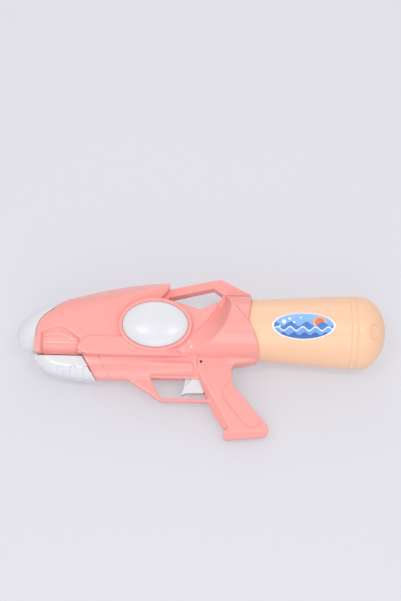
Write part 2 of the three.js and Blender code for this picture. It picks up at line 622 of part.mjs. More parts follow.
// Domed cover: a spherical cap stretched to the oval, with two pegs behind it.
function ovalCover() {
  const arc = (half, low, high) => [1, 0.9, 0.7, 0.45, 0.2, 0].map((share) => {
    return [half * share, low + (high - low) * Math.sqrt(1 - share ** 2)];
  });
  const [half] = OVAL_HALF;
  const edge = OVAL_SEAT + GAP;
  const outer = arc(half, OVAL_SEAT + OVAL_EDGE, OVAL_APEX);
  const inner = arc(half - COVER_WALL, edge, OVAL_APEX - COVER_WALL).reverse();
  const profile = [[half, edge], ...outer, ...inner, [half, edge]];
  const cap = new THREE.LatheGeometry(profile.map(([r, z]) => new THREE.Vector2(r, z)), ROUND_SIDES);
  cap.rotateX(Math.PI / 2);
  cap.scale(1, OVAL_HALF[1] / half, 1);
  const dome = solid(cap.translate(...OVAL_AT, 0));
  const pegs = ovalPegs(PEG_R, OVAL_SEAT - PEG_LENGTH, OVAL_APEX - COVER_WALL - GAP);
  return dome.add(join(...pegs));
}

// Tank: a bottle turned about its axis, wider towards its domed end.
function tankForm(offset) {
  const wideEnd = LENGTH - TANK_DOME;
  const ringEnd = RING_X + SLEEVE_RIB;
  const grooveR = TANK_WIDE_R - TANK_GROOVE;
  const groove = (x) => [[x - TANK_GROOVE, TANK_WIDE_R], [x, grooveR], [x + TANK_GROOVE, TANK_WIDE_R]];
  const dome = [0.2, 0.4, 0.6, 0.8].map((share) => {
    const angle = share * Math.PI / 2;
    return [wideEnd + (TANK_DOME + offset) * Math.sin(angle), (TANK_WIDE_R + offset) * Math.cos(angle)];
  });
  const wall = [
    [RING_X - 2 * GAP, TANK_MOUTH_R], [RING_X - GAP, RING_R], [ringEnd + GAP, RING_R],
    [ringEnd + 2 * GAP, TANK_MOUTH_R], [SLEEVE_END_X, TANK_MOUTH_R],
    ...groove(TANK_WIDE_X), ...groove(TANK_WIDE_X + TANK_BAND), [wideEnd, TANK_WIDE_R],
  ].map(([x, r]) => [x, r + offset]);
  const front = SHOULDER_X - offset;
  return turned([[front, 0], [front, TANK_MOUTH_R + offset], ...wall, ...dome, [LENGTH + offset, 0]]);
}

// A post along the filler plug's own axis, measured outwards from the tank's skin.
const plugAxis = new THREE.Vector3(
  Math.sin(PLUG_TILT),
  -Math.cos(PLUG_TILT) * Math.sin(PLUG_DROP),
  Math.cos(PLUG_TILT) * Math.cos(PLUG_DROP),
);

function plugSeat() {
  const reach = Math.hypot(TANK_DOME * Math.sin(PLUG_TILT), TANK_WIDE_R * Math.cos(PLUG_TILT));
  const back = TANK_DOME ** 2 * Math.sin(PLUG_TILT) / reach;
  const out = TANK_WIDE_R ** 2 * Math.cos(PLUG_TILT) / reach;
  return new THREE.Vector3(LENGTH - TANK_DOME + back, -out * Math.sin(PLUG_DROP), out * Math.cos(PLUG_DROP));
}

function plugPost(low, high, radius) {
  const geometry = new THREE.CylinderGeometry(radius, radius, high - low, 2 * SMALL_SIDES);
  const turn = new THREE.Quaternion().setFromUnitVectors(new THREE.Vector3(0, 1, 0), plugAxis);
  const middle = plugSeat().addScaledVector(plugAxis, (low + high) / 2);
  return solid(geometry.applyQuaternion(turn).translate(middle.x, middle.y, middle.z));
}

function tankPieces() {
  const outer = tankForm(0);
  const neck = bar(NECK_END_X, SHOULDER_X + TANK_WALL, NECK_R, 0, ROUND_SIDES);
  const mouth = bar(NECK_END_X - GAP, SHOULDER_X + 2 * TANK_WALL, NECK_R - TANK_WALL, 0, ROUND_SIDES);
  const bossR = PLUG_HEAD_R + GAP + TANK_WALL;
  const boss = plugPost(-PLUG_SINK - 2 * TANK_WALL, PLUG_HEAD, bossR).intersect(outer);
  const sink = plugPost(-PLUG_SINK, PLUG_SHANK, PLUG_HEAD_R + GAP);
  const hole = plugPost(-FAR / 4, PLUG_SHANK, PLUG_SHANK_R + GAP);
  const bottle = join(outer.subtract(tankForm(-TANK_WALL)), boss, neck).subtract(mouth).subtract(sink);
  const headLow = -PLUG_SINK + GAP;
  const shank = plugPost(headLow - PLUG_SHANK, headLow + PLUG_HEAD / 2, PLUG_SHANK_R);
  const ringLow = headLow - PLUG_SHANK + PLUG_RING;
  const core = plugPost(headLow - PLUG_SHANK, headLow, PLUG_SHANK_R - PLUG_RING);
  const groove = plugPost(ringLow - GAP, ringLow + PLUG_RING + GAP, PLUG_HEAD_R).subtract(core);
  const plug = plugPost(headLow, headLow + PLUG_HEAD, PLUG_HEAD_R).add(shank.subtract(groove));
  const eye = plugPost(headLow - PLUG_SHANK, headLow, PLUG_SHANK_R - PLUG_RING + GAP);
  const ring = plugPost(ringLow, ringLow + PLUG_RING, PLUG_SHANK_R).subtract(eye);
  const sheet = tankForm(GAP + LABEL_THICK).subtract(tankForm(GAP));
  const labelHalf = [(LABEL_REAR_X - LABEL_FRONT_X) / 2, LABEL_HALF_Y];
  const labelAt = [(LABEL_REAR_X + LABEL_FRONT_X) / 2, LABEL_Y];
  const label = sheet.intersect(ovalSlab(labelAt, labelHalf, TANK_MOUTH_R / 2, FAR));
  return [
    piece('tank', bottle.subtract(hole), peach),
    piece('tank_label', label, print),
    piece('filler_plug', plug, peach),
    piece('filler_ring', ring, rubber),
    ...capPieces(),
  ];
}

// Screw cap on the tank's neck, with a barb for air, a barb for water and the dip tube behind it.
function capPieces() {
  const skirt = tube(CAP_REAR_X - GAP, SHOULDER_X - GAP, CAP_R, NECK_R + GAP, 0, ROUND_SIDES);
  const barbAt = (y) => bar(CAP_FRONT_X - BARB_LENGTH, CAP_REAR_X, BARB_R, y);
  const dipBarb = bar(CAP_REAR_X - GAP, CAP_REAR_X + BARB_LENGTH, BARB_R, VALVE_Y);
  const [boreFront, boreRear] = [CAP_FRONT_X - 2 * BARB_LENGTH, CAP_REAR_X + 2 * BARB_LENGTH];
  const bores = [VALVE_Y, AIR_BARB_Y].map((y) => bar(boreFront, boreRear, BARB_BORE, y));
  const disc = bar(CAP_FRONT_X, CAP_REAR_X, CAP_R, 0, ROUND_SIDES);
  const cap = join(disc, skirt, barbAt(VALVE_Y), barbAt(AIR_BARB_Y), dipBarb).subtract(join(...bores));
  const gasket = tube(CAP_REAR_X + GAP, NECK_END_X - GAP, NECK_R, NECK_R - TANK_WALL, 0, ROUND_SIDES);
  const start = CAP_REAR_X + GAP;
  const dipEnd = [TANK_WIDE_X - DIP_SHORT, VALVE_Y - DIP_DROP, 0];
  const dip = [[start, VALVE_Y, 0], [start + 2 * BARB_LENGTH, VALVE_Y, 0], dipEnd];
  return [
    piece('tank_cap', cap, white),
    piece('tank_gasket', gasket, rubber),
    piece('pickup_tube', swept(dip, HOSE_R, HOSE_BORE, HOSE_STEPS / 4), vinyl),
  ];
}

// Hose routes, chosen by hand between the barbs.
function airRoute() {
  const start = [CHECK_MID_X, PUMP_Y + CHECK_R + GAP, 0];
  const end = [CAP_FRONT_X - GAP, AIR_BARB_Y, 0];
  return [
    start, [start[0], start[1] + BARB_LENGTH, 0], [start[0], start[1] + 2 * BARB_LENGTH, -HOSE_R / 2],
    ...AIR_BENDS, [end[0] - 2 * BARB_LENGTH, AIR_BARB_Y, 0], [end[0] - BARB_LENGTH, AIR_BARB_Y, 0], end,
  ];
}

function waterRoute() {
  const start = [VALVE_BARB_X, VALVE_Y + VALVE_R + GAP, 0];
  const end = [NOZZLE_LENGTH - BARB_LENGTH + GAP, NOSE_TIP_Y, 0];
  return [
    start, [start[0], start[1] + BARB_LENGTH, 0], [start[0] - HOSE_R / 2, start[1] + 2 * BARB_LENGTH, 0],
    ...WATER_BENDS, [end[0] + 3 * BARB_LENGTH, NOSE_TIP_Y, 0], end,
  ];
}

function hosePieces() {
  const rear = tube(VALVE_REAR_X + GAP, CAP_FRONT_X - GAP, HOSE_R, HOSE_BORE, VALVE_Y);
  return [
    piece('air_hose', swept(airRoute(), HOSE_R, HOSE_BORE, HOSE_STEPS), vinyl),
    piece('water_hose_front', swept(waterRoute(), HOSE_R, HOSE_BORE, HOSE_STEPS), vinyl),
    piece('water_hose_rear', rear, vinyl),
  ];
}

function shellPieces() {
  const body = bodyForm();
  const shells = body.subtract(cavityForm()).add(fittings().intersect(body)).subtract(room());
  const drilled = shells.subtract(join(...screwRoom(SCREW_AT)));
  return [piece('left_shell', leftOf(drilled), pink), piece('right_shell', rightOf(drilled), pink)];
}

function nosePieces() {
  const skin = noseEgg(0).intersect(frontOfRim(-NOSE_FIT));
  const tongue = noseEgg(NOSE_SEAT + NOSE_FIT).intersect(frontOfRim(NOSE_SPIGOT));
  const spigot = tongue.subtract(recessForm(WALL + NOSE_FIT));
  const hole = bar(-NOSE_LONG, NOZZLE_LENGTH, NOZZLE_R + GAP, NOSE_TIP_Y);
  const shroud = skin.add(spigot).subtract(noseEgg(NOSE_SEAT + NOSE_FIT + WALL)).subtract(hole);
  const front = 2 * GAP;
  const head = bar(front, NOZZLE_LENGTH - BARB_LENGTH, NOZZLE_R, NOSE_TIP_Y);
  const barb = bar(front, NOZZLE_LENGTH, BARB_R, NOSE_TIP_Y);
  const nozzle = head.add(barb).subtract(bar(-NOSE_LONG, NOSE_LONG, JET_R, NOSE_TIP_Y));
  return [piece('nose_shroud', shroud, white), piece('nozzle', nozzle, grey)];
}

function coverPieces() {
  const left = piece('left_oval_cover', ovalCover(), white);
  const right = piece('right_oval_cover', ovalCover(), white);
  right.rotation.x = Math.PI;
  right.position.y = 2 * OVAL_AT[1];
  return [left, right];
}

// A wide round along the bow and the bottom of the handle, on both sides, all of it offset by grow.
function handleKeel(grow) {
  const [first, second] = HANDLE_BOW;
  const up = first.map((value, i) => value + 3 * (value - second[i]));
  const low = HANDLE_REAR[0].map((value, i) => value + 2 * (value - HANDLE_BOW.at(-1)[i]));
  const outline = [up, ...HANDLE_BOW.slice(1), low, [low[0], up[1]]];
  const round = HANDLE_KEEL + grow;
  const steps = Array.from({ length: EDGE_STEPS + 2 }, (_, i) => Math.PI / 2 * i / (EDGE_STEPS + 1));
  const points = steps.flatMap((angle) => {
    const z = HANDLE_HALF - HANDLE_KEEL + round * Math.sin(angle);
    return inset(outline, round * (1 - Math.cos(angle)) - grow).map(([x, y]) => [x, y, z]);
  });
  return hull(bothSides(points));
}

// Fore-end: two halves that clamp a flange on the pump rod.
function handlePieces() {
  const [clampFront, clampRear] = [FLANGE_X - 2 * RIB, FLANGE_X + FLANGE + 2 * RIB];
  const hollow = slab(inset(HANDLE_OUTLINE, WALL), HANDLE_HALF - WALL).intersect(handleKeel(-WALL));
  const knurls = KNURL_X.flatMap((x) => [
    post([x, KNURL_TOP], -FAR, FAR, KNURL_R),
    box([x - KNURL_R, x + KNURL_R], [-FAR, KNURL_TOP], [-FAR, FAR]),
  ]);
  const [plain, grown] = [0, KNURL_PROUD].map((grow) => {
    return slab(HANDLE_OUTLINE, HANDLE_HALF + grow, HANDLE_ROUND).intersect(handleKeel(grow));
  });
  const form = plain.add(grown.intersect(join(...knurls)));
  const bosses = HANDLE_SCREW_AT.map((at) => post(at, -HANDLE_HALF, HANDLE_HALF, BOSS_R - GAP));
  const clamp = box([clampFront, clampRear], [-FAR, FAR], [-FAR, FAR]);
  const rodRoom = bar(ROD_FRONT_X - GAP, CYLINDER_FRONT_X, ROD_R + GAP, PUMP_Y);
  const flangeRoom = bar(FLANGE_X - GAP, FLANGE_X + FLANGE + GAP, FLANGE_R + GAP, PUMP_Y);
  const inside = join(...bosses, clamp).intersect(form);
  const cuts = join(rodRoom, flangeRoom, ...screwRoom(HANDLE_SCREW_AT));
  const whole = form.subtract(hollow).add(inside).subtract(cuts);
  return [piece('pump_handle_left', leftOf(whole), white), piece('pump_handle_right', rightOf(whole), white)];
}

function pumpPieces() {
  const flangeOnRod = bar(FLANGE_X, FLANGE_X + FLANGE, FLANGE_R, PUMP_Y);
  const rod = bar(ROD_FRONT_X, PISTON_FRONT_X + ROD_SEAT, ROD_R, PUMP_Y).add(flangeOnRod);
  const ringX = PISTON_REAR_X - 2 * PISTON_GROOVE;
  const pistonR = CYLINDER_BORE - 2 * GAP;
  const ringBore = CYLINDER_BORE - PISTON_RING;
  const groove = tube(ringX, ringX + PISTON_GROOVE, CYLINDER_R, ringBore - GAP, PUMP_Y);
  const socket = bar(PISTON_FRONT_X - GAP, PISTON_FRONT_X + ROD_SEAT + GAP, ROD_R + GAP, PUMP_Y);
  const piston = bar(PISTON_FRONT_X, PISTON_REAR_X, pistonR, PUMP_Y).subtract(groove).subtract(socket);
  const ring = tube(ringX + GAP, ringX + PISTON_GROOVE - GAP, CYLINDER_BORE - GAP, ringBore, PUMP_Y);
  const bore = bar(CYLINDER_FRONT_X - GAP, CYLINDER_REAR_X - CYLINDER_END, CYLINDER_BORE, PUMP_Y);
  const port = bar(CYLINDER_FRONT_X, CYLINDER_REAR_X + GAP, BARB_BORE, PUMP_Y);
  const cylinder = bar(CYLINDER_FRONT_X, CYLINDER_REAR_X, CYLINDER_R, PUMP_Y).subtract(bore).subtract(port);
  const flangeX = CYLINDER_FRONT_X - GAP - CAP_FLANGE;
  const flange = bar(flangeX, flangeX + CAP_FLANGE, CYLINDER_R, PUMP_Y);
  const spigot = bar(flangeX, CYLINDER_FRONT_X + CAP_SPIGOT - GAP, CYLINDER_BORE - GAP, PUMP_Y);
  const cap = flange.add(spigot).subtract(bar(flangeX - GAP, CYLINDER_REAR_X, ROD_R + GAP, PUMP_Y));
  return [
    piece('pump_rod', rod, grey),
    piece('pump_piston', piston, grey),
    piece('piston_ring', ring, rubber),
    piece('pump_cylinder', cylinder, grey),
    piece('cylinder_cap', cap, grey),
    ...checkPieces(),
  ];
}

// One-way valve behind the cylinder: a loose flap in a cup whose outlet turns up to the air hose.
function checkPieces() {
  const rear = CHECK_FRONT_X + CHECK_LENGTH;
  const chamber = bar(CHECK_FRONT_X - GAP, rear - WALL, CHECK_R - WALL, PUMP_Y);
  const barb = riser(CHECK_MID_X, PUMP_Y, PUMP_Y + CHECK_R + BARB_LENGTH, BARB_R);
  const bore = riser(CHECK_MID_X, PUMP_Y, PUMP_Y + CHECK_R + 2 * BARB_LENGTH, BARB_BORE);
  const cup = bar(CHECK_FRONT_X, rear, CHECK_R, PUMP_Y).add(barb).subtract(chamber).subtract(bore);
  const flap = bar(CHECK_FRONT_X + GAP, CHECK_FRONT_X + GAP + FLAP, CHECK_R - WALL - GAP, PUMP_Y);
  return [piece('check_valve', cup, grey), piece('check_flap', flap, rubber)];
}

function valvePieces() {
  const chamber = bar(VALVE_FRONT_X + VALVE_END, VALVE_REAR_X - VALVE_END, VALVE_BORE, VALVE_Y);
  const stemHole = bar(VALVE_FRONT_X - GAP, HEAD_FRONT_X, STEM_R + GAP, VALVE_Y);
  const inlet = bar(VALVE_REAR_X - VALVE_END, VALVE_REAR_X + BARB_LENGTH / 2, BARB_R, VALVE_Y);
  const inletBore = bar(VALVE_REAR_X - 2 * VALVE_END, VALVE_REAR_X + BARB_LENGTH, BARB_BORE, VALVE_Y);
  const outlet = riser(VALVE_BARB_X, VALVE_Y, VALVE_Y + VALVE_R + BARB_LENGTH, BARB_R);
  const outletBore = riser(VALVE_BARB_X, VALVE_Y, VALVE_Y + VALVE_R + 2 * BARB_LENGTH, BARB_BORE);
  const housing = join(bar(VALVE_FRONT_X, VALVE_REAR_X, VALVE_R, VALVE_Y), inlet, outlet);
  const body = housing.subtract(join(chamber, stemHole, inletBore, outletBore));
  const headRear = HEAD_FRONT_X + HEAD_LENGTH;
  const ringX = HEAD_FRONT_X + (HEAD_LENGTH - HEAD_GROOVE) / 2;
  const groove = tube(ringX, ringX + HEAD_GROOVE, VALVE_R, STEM_R + GAP, VALVE_Y);
  const head = bar(HEAD_FRONT_X, headRear, VALVE_BORE - 2 * GAP, VALVE_Y).subtract(groove);
  const knob = bar(KNOB_REAR_X - KNOB, KNOB_REAR_X, KNOB_R, VALVE_Y);
  const plunger = join(knob, bar(KNOB_REAR_X - KNOB, headRear, STEM_R, VALVE_Y), head);
  const ring = tube(ringX + GAP, ringX + HEAD_GROOVE - GAP, VALVE_BORE - GAP, STEM_R + 2 * GAP, VALVE_Y);
  const springR = VALVE_BORE - WIRE_R - 2 * GAP;
  const spring = coil(VALVE_FRONT_X + VALVE_END + GAP, HEAD_FRONT_X - GAP, VALVE_Y, springR);
  return [
    piece('valve_body', body, grey),
    piece('valve_plunger', plunger, grey),
    piece('valve_ring', ring, rubber),
    piece('valve_spring', spring, steel),
  ];
}

// Trigger: a finger blade below its pin and a forked arm above it that draws the valve's knob forward.
function triggerPieces() {
  const [px] = TRIGGER_PIVOT;
  const forkLow = VALVE_Y - STEM_R - 3 * GAP;
  const fork = box([px - TRIGGER_ARM, px + TRIGGER_ARM], [forkLow, FAR], [-STEM_R - GAP, STEM_R + GAP]);
  const blade = triggerBlade(0, 0).subtract(fork).subtract(post(TRIGGER_PIVOT, -FAR, FAR, PIN_R + GAP));
  const pin = post(TRIGGER_PIVOT, PIN_SINK - GRIP_HALF, GRIP_HALF - PIN_SINK, PIN_R);
  const spring = coil(TRIGGER_BACK[1][0] + 2 * GAP, springRearX(), SPRING_Y, SPRING_R);
  return [
    piece('trigger', blade, white),
    piece('trigger_pin', pin, steel),
    piece('trigger_spring', spring, steel),
  ];
}

function screwPieces() {
  const named = (places, name) => places.map((at, i) => piece(`${name}_${i + 1}`, screw(at), steel));
  return [...named(SCREW_AT, 'body_screw'), ...named(HANDLE_SCREW_AT, 'handle_screw')];
}

// Lying on the ground: the tank's widest ring and the lower edge of the butt both touch it.
function lyingRoll() {
  const drop = -GRIP_LOW_Y - GRIP_ROUND;
  return Math.asin(TANK_WIDE_R / Math.hypot(GRIP_HALF, drop)) - Math.atan2(GRIP_HALF, drop);
}

const squirter = new THREE.Group();
squirter.add(...shellPieces(), ...nosePieces(), ...coverPieces(), ...tankPieces(), ...hosePieces());
squirter.add(...handlePieces(), ...pumpPieces(), ...valvePieces(), ...triggerPieces(), ...screwPieces());
squirter.rotation.x = lyingRoll();
squirter.updateMatrixWorld(true);
const extent = new THREE.Box3().setFromObject(squirter, true);
const middle = extent.getCenter(new THREE.Vector3());
squirter.position.set(-middle.x, -middle.y, -extent.min.z);

export default squirter;
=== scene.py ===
# %% [markdown]
# # A pump-up water squirter, piece by piece
#
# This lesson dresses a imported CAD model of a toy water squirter. The CAD frame already knows which piece
# moves and how. Here each piece that shows is modelled again with soft moulded edges, and every piece gets
# a material with some grain. The toy lies on its right side on a pale table.

# %% Load the frame and note its box
import json
import math

import bpy
import numpy as np
from mathutils import Matrix, Vector


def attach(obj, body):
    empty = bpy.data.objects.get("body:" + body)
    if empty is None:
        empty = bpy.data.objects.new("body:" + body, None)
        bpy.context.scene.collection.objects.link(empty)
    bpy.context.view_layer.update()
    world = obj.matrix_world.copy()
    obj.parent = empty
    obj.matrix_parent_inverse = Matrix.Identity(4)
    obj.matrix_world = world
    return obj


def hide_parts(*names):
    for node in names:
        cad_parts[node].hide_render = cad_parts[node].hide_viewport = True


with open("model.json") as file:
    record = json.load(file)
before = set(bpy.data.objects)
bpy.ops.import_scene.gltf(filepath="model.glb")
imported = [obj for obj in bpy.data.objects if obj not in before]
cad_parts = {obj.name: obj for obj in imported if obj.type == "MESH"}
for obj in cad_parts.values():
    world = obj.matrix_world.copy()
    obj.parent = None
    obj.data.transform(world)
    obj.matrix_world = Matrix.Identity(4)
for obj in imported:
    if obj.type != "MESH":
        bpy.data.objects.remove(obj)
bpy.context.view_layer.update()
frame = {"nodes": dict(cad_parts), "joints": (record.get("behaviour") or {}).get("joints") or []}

# %% [markdown]
# ## Working upright
#
# A toy like this is easiest to draw upright: x runs back from the tip of the nose, y up from the tank's
# axis and z out to the toy's left. All numbers below are millimetres in those axes. One could also draw it
# lying down, but then no edge would run along an axis. The trigger's hinge in the frame tells how the toy
# was rolled on to its side, so one matrix lays each finished piece down.

# %% From the drawing axes to the table
PIVOT = (201.4, -38.9)


def mm(point):
    """Millimetres to metres. A flat point lies in the middle plane."""
    x, y, *rest = point
    return Vector((x, y, rest[0] if rest else 0)) / 1000


hinge = next(joint for joint in frame["joints"] if joint["name"] == "trigger_pull")
roll = math.atan2(-hinge["axis"][1], hinge["axis"][2])
turn = Matrix.Rotation(roll, 4, "X")
origin = Vector(hinge["pos_m"]) - turn @ mm(PIVOT)
lying = Matrix.Translation(origin) @ turn
print("rolled by", round(math.degrees(roll), 2), "degrees, origin at", [round(v, 4) for v in origin])

# %% [markdown]
# ## A few hand tools
#
# Everything is made with the same moves that one would use with the mouse. An outline starts as a single
# vertex that is extruded from corner to corner. It is filled and pulled out to a plate, wrapped to a convex
# hull, spun about an axis or lofted to another outline. Solids are then joined and cut with the Boolean
# modifier.

# %% Hand tools: picking, drawing, closing
SEED, WELD = 0.01, 2e-6


def pick(*pieces):
    bpy.ops.object.select_all(action="DESELECT")
    for piece in pieces:
        piece.select_set(True)
    bpy.context.view_layer.objects.active = pieces[0]


def draw(name, points):
    """Extrudes one vertex from point to point and stays in edit mode."""
    bpy.ops.object.select_all(action="DESELECT")
    bpy.ops.mesh.primitive_plane_add(size=SEED)
    piece = bpy.context.object
    piece.name = name
    spots = [mm(point) for point in points]
    bpy.ops.object.mode_set(mode="EDIT")
    bpy.ops.mesh.select_all(action="SELECT")
    bpy.ops.mesh.merge(type="CENTER")
    bpy.ops.transform.translate(value=spots[0])
    for here, there in zip(spots, spots[1:]):
        bpy.ops.mesh.extrude_region_move(TRANSFORM_OT_translate={"value": there - here})
    bpy.ops.mesh.select_all(action="SELECT")
    return piece


def closed(piece):
    """Welds what coincides, turns the faces outwards and leaves edit mode."""
    bpy.ops.mesh.select_all(action="SELECT")
    bpy.ops.mesh.remove_doubles(threshold=WELD)
    bpy.ops.mesh.normals_make_consistent(inside=False)
    bpy.ops.object.mode_set(mode="OBJECT")
    return piece


def pull(depth):
    bpy.ops.mesh.extrude_region_move(TRANSFORM_OT_translate={"value": (0, 0, depth / 1000)})


# %% Hand tools: plate, hull, spin, loft, post
def plate(name, outline, low, high):
    piece = draw(name, [(x, y, low) for x, y in outline])
    bpy.ops.mesh.edge_face_add()
    pull(high - low)
    return closed(piece)


def mirrored(points):
    return [(x, y, -z) for x, y, z in points]


def hull(name, points):
    piece = draw(name, points)
    bpy.ops.mesh.convex_hull(join_triangles=False)
    return closed(piece)


def spun(name, profile, centre=(0, 0), axis=(1, 0, 0), steps=96):
    piece = draw(name, profile)
    bpy.ops.mesh.spin(steps=steps, angle=2 * math.pi, center=mm(centre), axis=axis)
    return closed(piece)


def bar(name, x0, x1, radius, y=0, steps=48):
    profile = [(x0, y), (x0, y + radius), (x1, y + radius), (x1, y)]
    return spun(name, profile, (0, y), steps=steps)


def loft(name, *rows):
    chains = []
    for row in rows:
        chains.append(draw(name, row))
        bpy.ops.object.mode_set(mode="OBJECT")
    pick(*chains)
    bpy.ops.object.join()
    bpy.ops.object.mode_set(mode="EDIT")
    bpy.ops.mesh.select_all(action="SELECT")
    bpy.ops.mesh.bridge_edge_loops()
    return chains[0]


def post(name, at, low, high, radius, sides=32):
    x, y = at
    angles = [2 * math.pi * i / sides for i in range(sides)]
    return plate(name, [(x + radius * math.cos(a), y + radius * math.sin(a)) for a in angles], low, high)


# %% Hand tools: joining, cutting, softening
def combine(piece, how, tools, solver="MANIFOLD"):
    for tool in tools:
        change = piece.modifiers.new(how, "BOOLEAN")
        change.operation, change.solver, change.object = how, solver, tool
        pick(piece)
        bpy.ops.object.modifier_apply(modifier=change.name)
        bpy.data.objects.remove(tool)
    return piece


def join(first, *others):
    return combine(first, "UNION", others)


def cut(piece, *tools):
    """All tools are joined first, so a fine mesh is cut only once."""
    return combine(piece, "DIFFERENCE", [join(*tools)])


def keep(piece, *tools):
    return combine(piece, "INTERSECT", tools)


def copy_of(piece, name):
    twin = piece.copy()
    twin.data = piece.data.copy()
    twin.name = name
    bpy.context.collection.objects.link(twin)
    return twin


def modified(piece, kind, **settings):
    change = piece.modifiers.new(kind, kind)
    for key, value in settings.items():
        setattr(change, key, value)
    pick(piece)
    bpy.ops.object.modifier_apply(modifier=change.name)
    return piece


def bevelled(piece, width, segments, angle=60):
    return modified(piece, "BEVEL", width=width / 1000, segments=segments, limit_method="ANGLE",
                    angle_limit=math.radians(angle))


def melted(piece, voxel, rounds):
    """Closes all joins into one skin of small even faces and rounds its edges off."""
    modified(piece, "REMESH", mode="VOXEL", voxel_size=voxel / 1000)
    return modified(piece, "SMOOTH", factor=0.5, iterations=rounds)


def moved(piece, matrix):
    piece.data.transform(matrix)
    piece.data.update()
    return piece


# %% Hand tools: outlines
def inset(outline, distance):
    """The outline moved inwards corner by corner, or outwards by a negative distance."""
    loop = np.array(outline, float)
    ahead = np.roll(loop, -1, axis=0)
    if np.sum(loop[:, 0] * ahead[:, 1] - ahead[:, 0] * loop[:, 1]) < 0:
        loop = loop[::-1]
        ahead = np.roll(loop, -1, axis=0)
    step = ahead - loop
    after = np.column_stack([-step[:, 1], step[:, 0]]) / np.linalg.norm(step, axis=1)[:, None]
    before = np.roll(after, 1, axis=0)
    share = distance / (1 + np.sum(before * after, axis=1))
    return [tuple(p) for p in loop + share[:, None] * (before + after)]


def ribbon(points, width):
    """A narrow band along a line of points, as an outline."""
    line = np.array(points, float)
    along = np.gradient(line, axis=0)
    across = np.column_stack([-along[:, 1], along[:, 0]]) / np.linalg.norm(along, axis=1)[:, None]
    side = across * width / 2
    return [tuple(p) for p in np.vstack([line + side, (line - side)[::-1]])]


def oval(centre, halves, count=128):
    angles = np.linspace(0, 2 * math.pi, count, endpoint=False)
    return [(centre[0] + halves[0] * math.cos(a), centre[1] + halves[1] * math.sin(a)) for a in angles]


def arc(centre, radius, start, end, count=60):
    angles = np.radians(np.linspace(start, end, count))
    return [(centre[0] + radius * math.cos(a), centre[1] + radius * math.sin(a)) for a in angles]


def pebble(name, outline, half, radius):
    """A convex slab whose edges are rounded off to both sides, like a worn pebble."""
    points = []
    for a in np.radians(np.linspace(0, 90, 10)):
        z = half - radius + radius * math.sin(a)
        points += [(x, y, z) for x, y in inset(outline, radius * (1 - math.cos(a)))]
    return hull(name, points + mirrored(points))


# %% [markdown]
# ## The body: hood, panel, sleeve
#
# The pink body is moulded as two half shells. One could sculpt it as one skin, but its forms are plain, so
# it is drawn here as one solid of the big simple forms that a designer would block out first: a hood wrapped
# over the nose, a raised side panel, a round sleeve for the tank, a carry bar, a block with a trigger guard,
# and a grip. Each form takes a wall as an argument, so the same forms one wall smaller hollow the body out
# later.

# %% Sizes of the hood and the nose
WALL = 2.2
FAR = 300
NOSE = (40, 27, 25)
NOSE_MID = (40, -2.5)
DROOP = 0.3
RIM = [(64, 40), (54, 27.5), (49.6, 22.9), (44.2, 17), (40, 12.6), (35.6, 8.8), (32.6, 6.4), (29.7, 2.9),
       (27.8, -0.2), (26.2, -4.3), (25, -7.9), (24.3, -15.8), (23.8, -24.2), (24, -31.9), (25, -40)]
RIDGE = np.polyfit((47.6, 55.4, 71.9, 88.6, 98.6, 120.5, 163.1),
                   (26.5, 29.4, 34.7, 39.7, 41.8, 46.4, 51.3), 3)
CREST = np.polyfit((31, 49.8, 71, 92.3, 102, 122.9, 145, 164),
                   (-14.7, -4.4, 6.9, 17.7, 21.5, 30.9, 38.1, 43), 3)
CREST_HALF = ((30, 102, 145, 166), (26, 26, 22, 17))
HOOD_FOOT, HOOD_HALF = -35.2, 26
FOOT_SPAN, CREST_SPAN, BROW_SPAN = (20, 112), (30, 37), (20, 44.4)
BROW_LEAD, ROOF_BOW = 0.8, 1.15
STATIONS = np.linspace(48, 165, 13)
HOOD_TIP = [(164.3, 39.5, 17.5), (160, 33.5, 18.3), (150, 28, 20.6)]
RECESS = [(30.1, -12.4), (30.1, -40), (69.5, -40), (72, -20), (51.1, -5.6)]
RECESS_LOW = [(31.6, -15.6), (31.6, -40), (69.5, -40), (70.5, -21), (51, -13)]
RECESS_FOOT = [(31.6, -21), (31.6, -40), (69.5, -40), (69.5, -21)]
RECESS_FLOOR, FOOT_FLOOR = 20, 12
BARREL_AT, BARREL_R, BARREL_TOP, BARREL_SPAN = (-21.6, 6), 13.4, (-8, 20.4), (30, 76)


# %% Hood, recess and nose form
def egg(shrink):
    """The nose form: a ball stretched to an egg that droops towards its tip."""
    bpy.ops.object.select_all(action="DESELECT")
    bpy.ops.mesh.primitive_uv_sphere_add(segments=96, ring_count=64, radius=0.001)
    piece = bpy.context.object
    size = Matrix.Diagonal([half - shrink for half in NOSE] + [1])
    lean = Matrix(((1, 0, 0, 0), (DROOP, 1, 0, 0), (0, 0, 1, 0), (0, 0, 0, 1)))
    poles = Matrix.Rotation(math.pi / 2, 4, "Y")
    return moved(piece, Matrix.Translation(mm(NOSE_MID)) @ lean @ size @ poles)


def ring_of_egg(x, grow):
    share = math.sqrt(1 - ((x - NOSE_MID[0]) / NOSE[0]) ** 2)
    middle = NOSE_MID[1] + DROOP * (x - NOSE_MID[0])
    up, out = NOSE[1] * share + grow, NOSE[2] * share + grow
    angles = np.radians(np.linspace(-30, 90, 13))
    return [(x, middle + up * math.sin(a), out * math.cos(a)) for a in angles]


def before_rim(shift):
    edge = [(x + shift, y) for x, y in RIM]
    return plate("front", [*edge, (-FAR, -FAR), (-FAR, FAR)], -FAR, FAR)


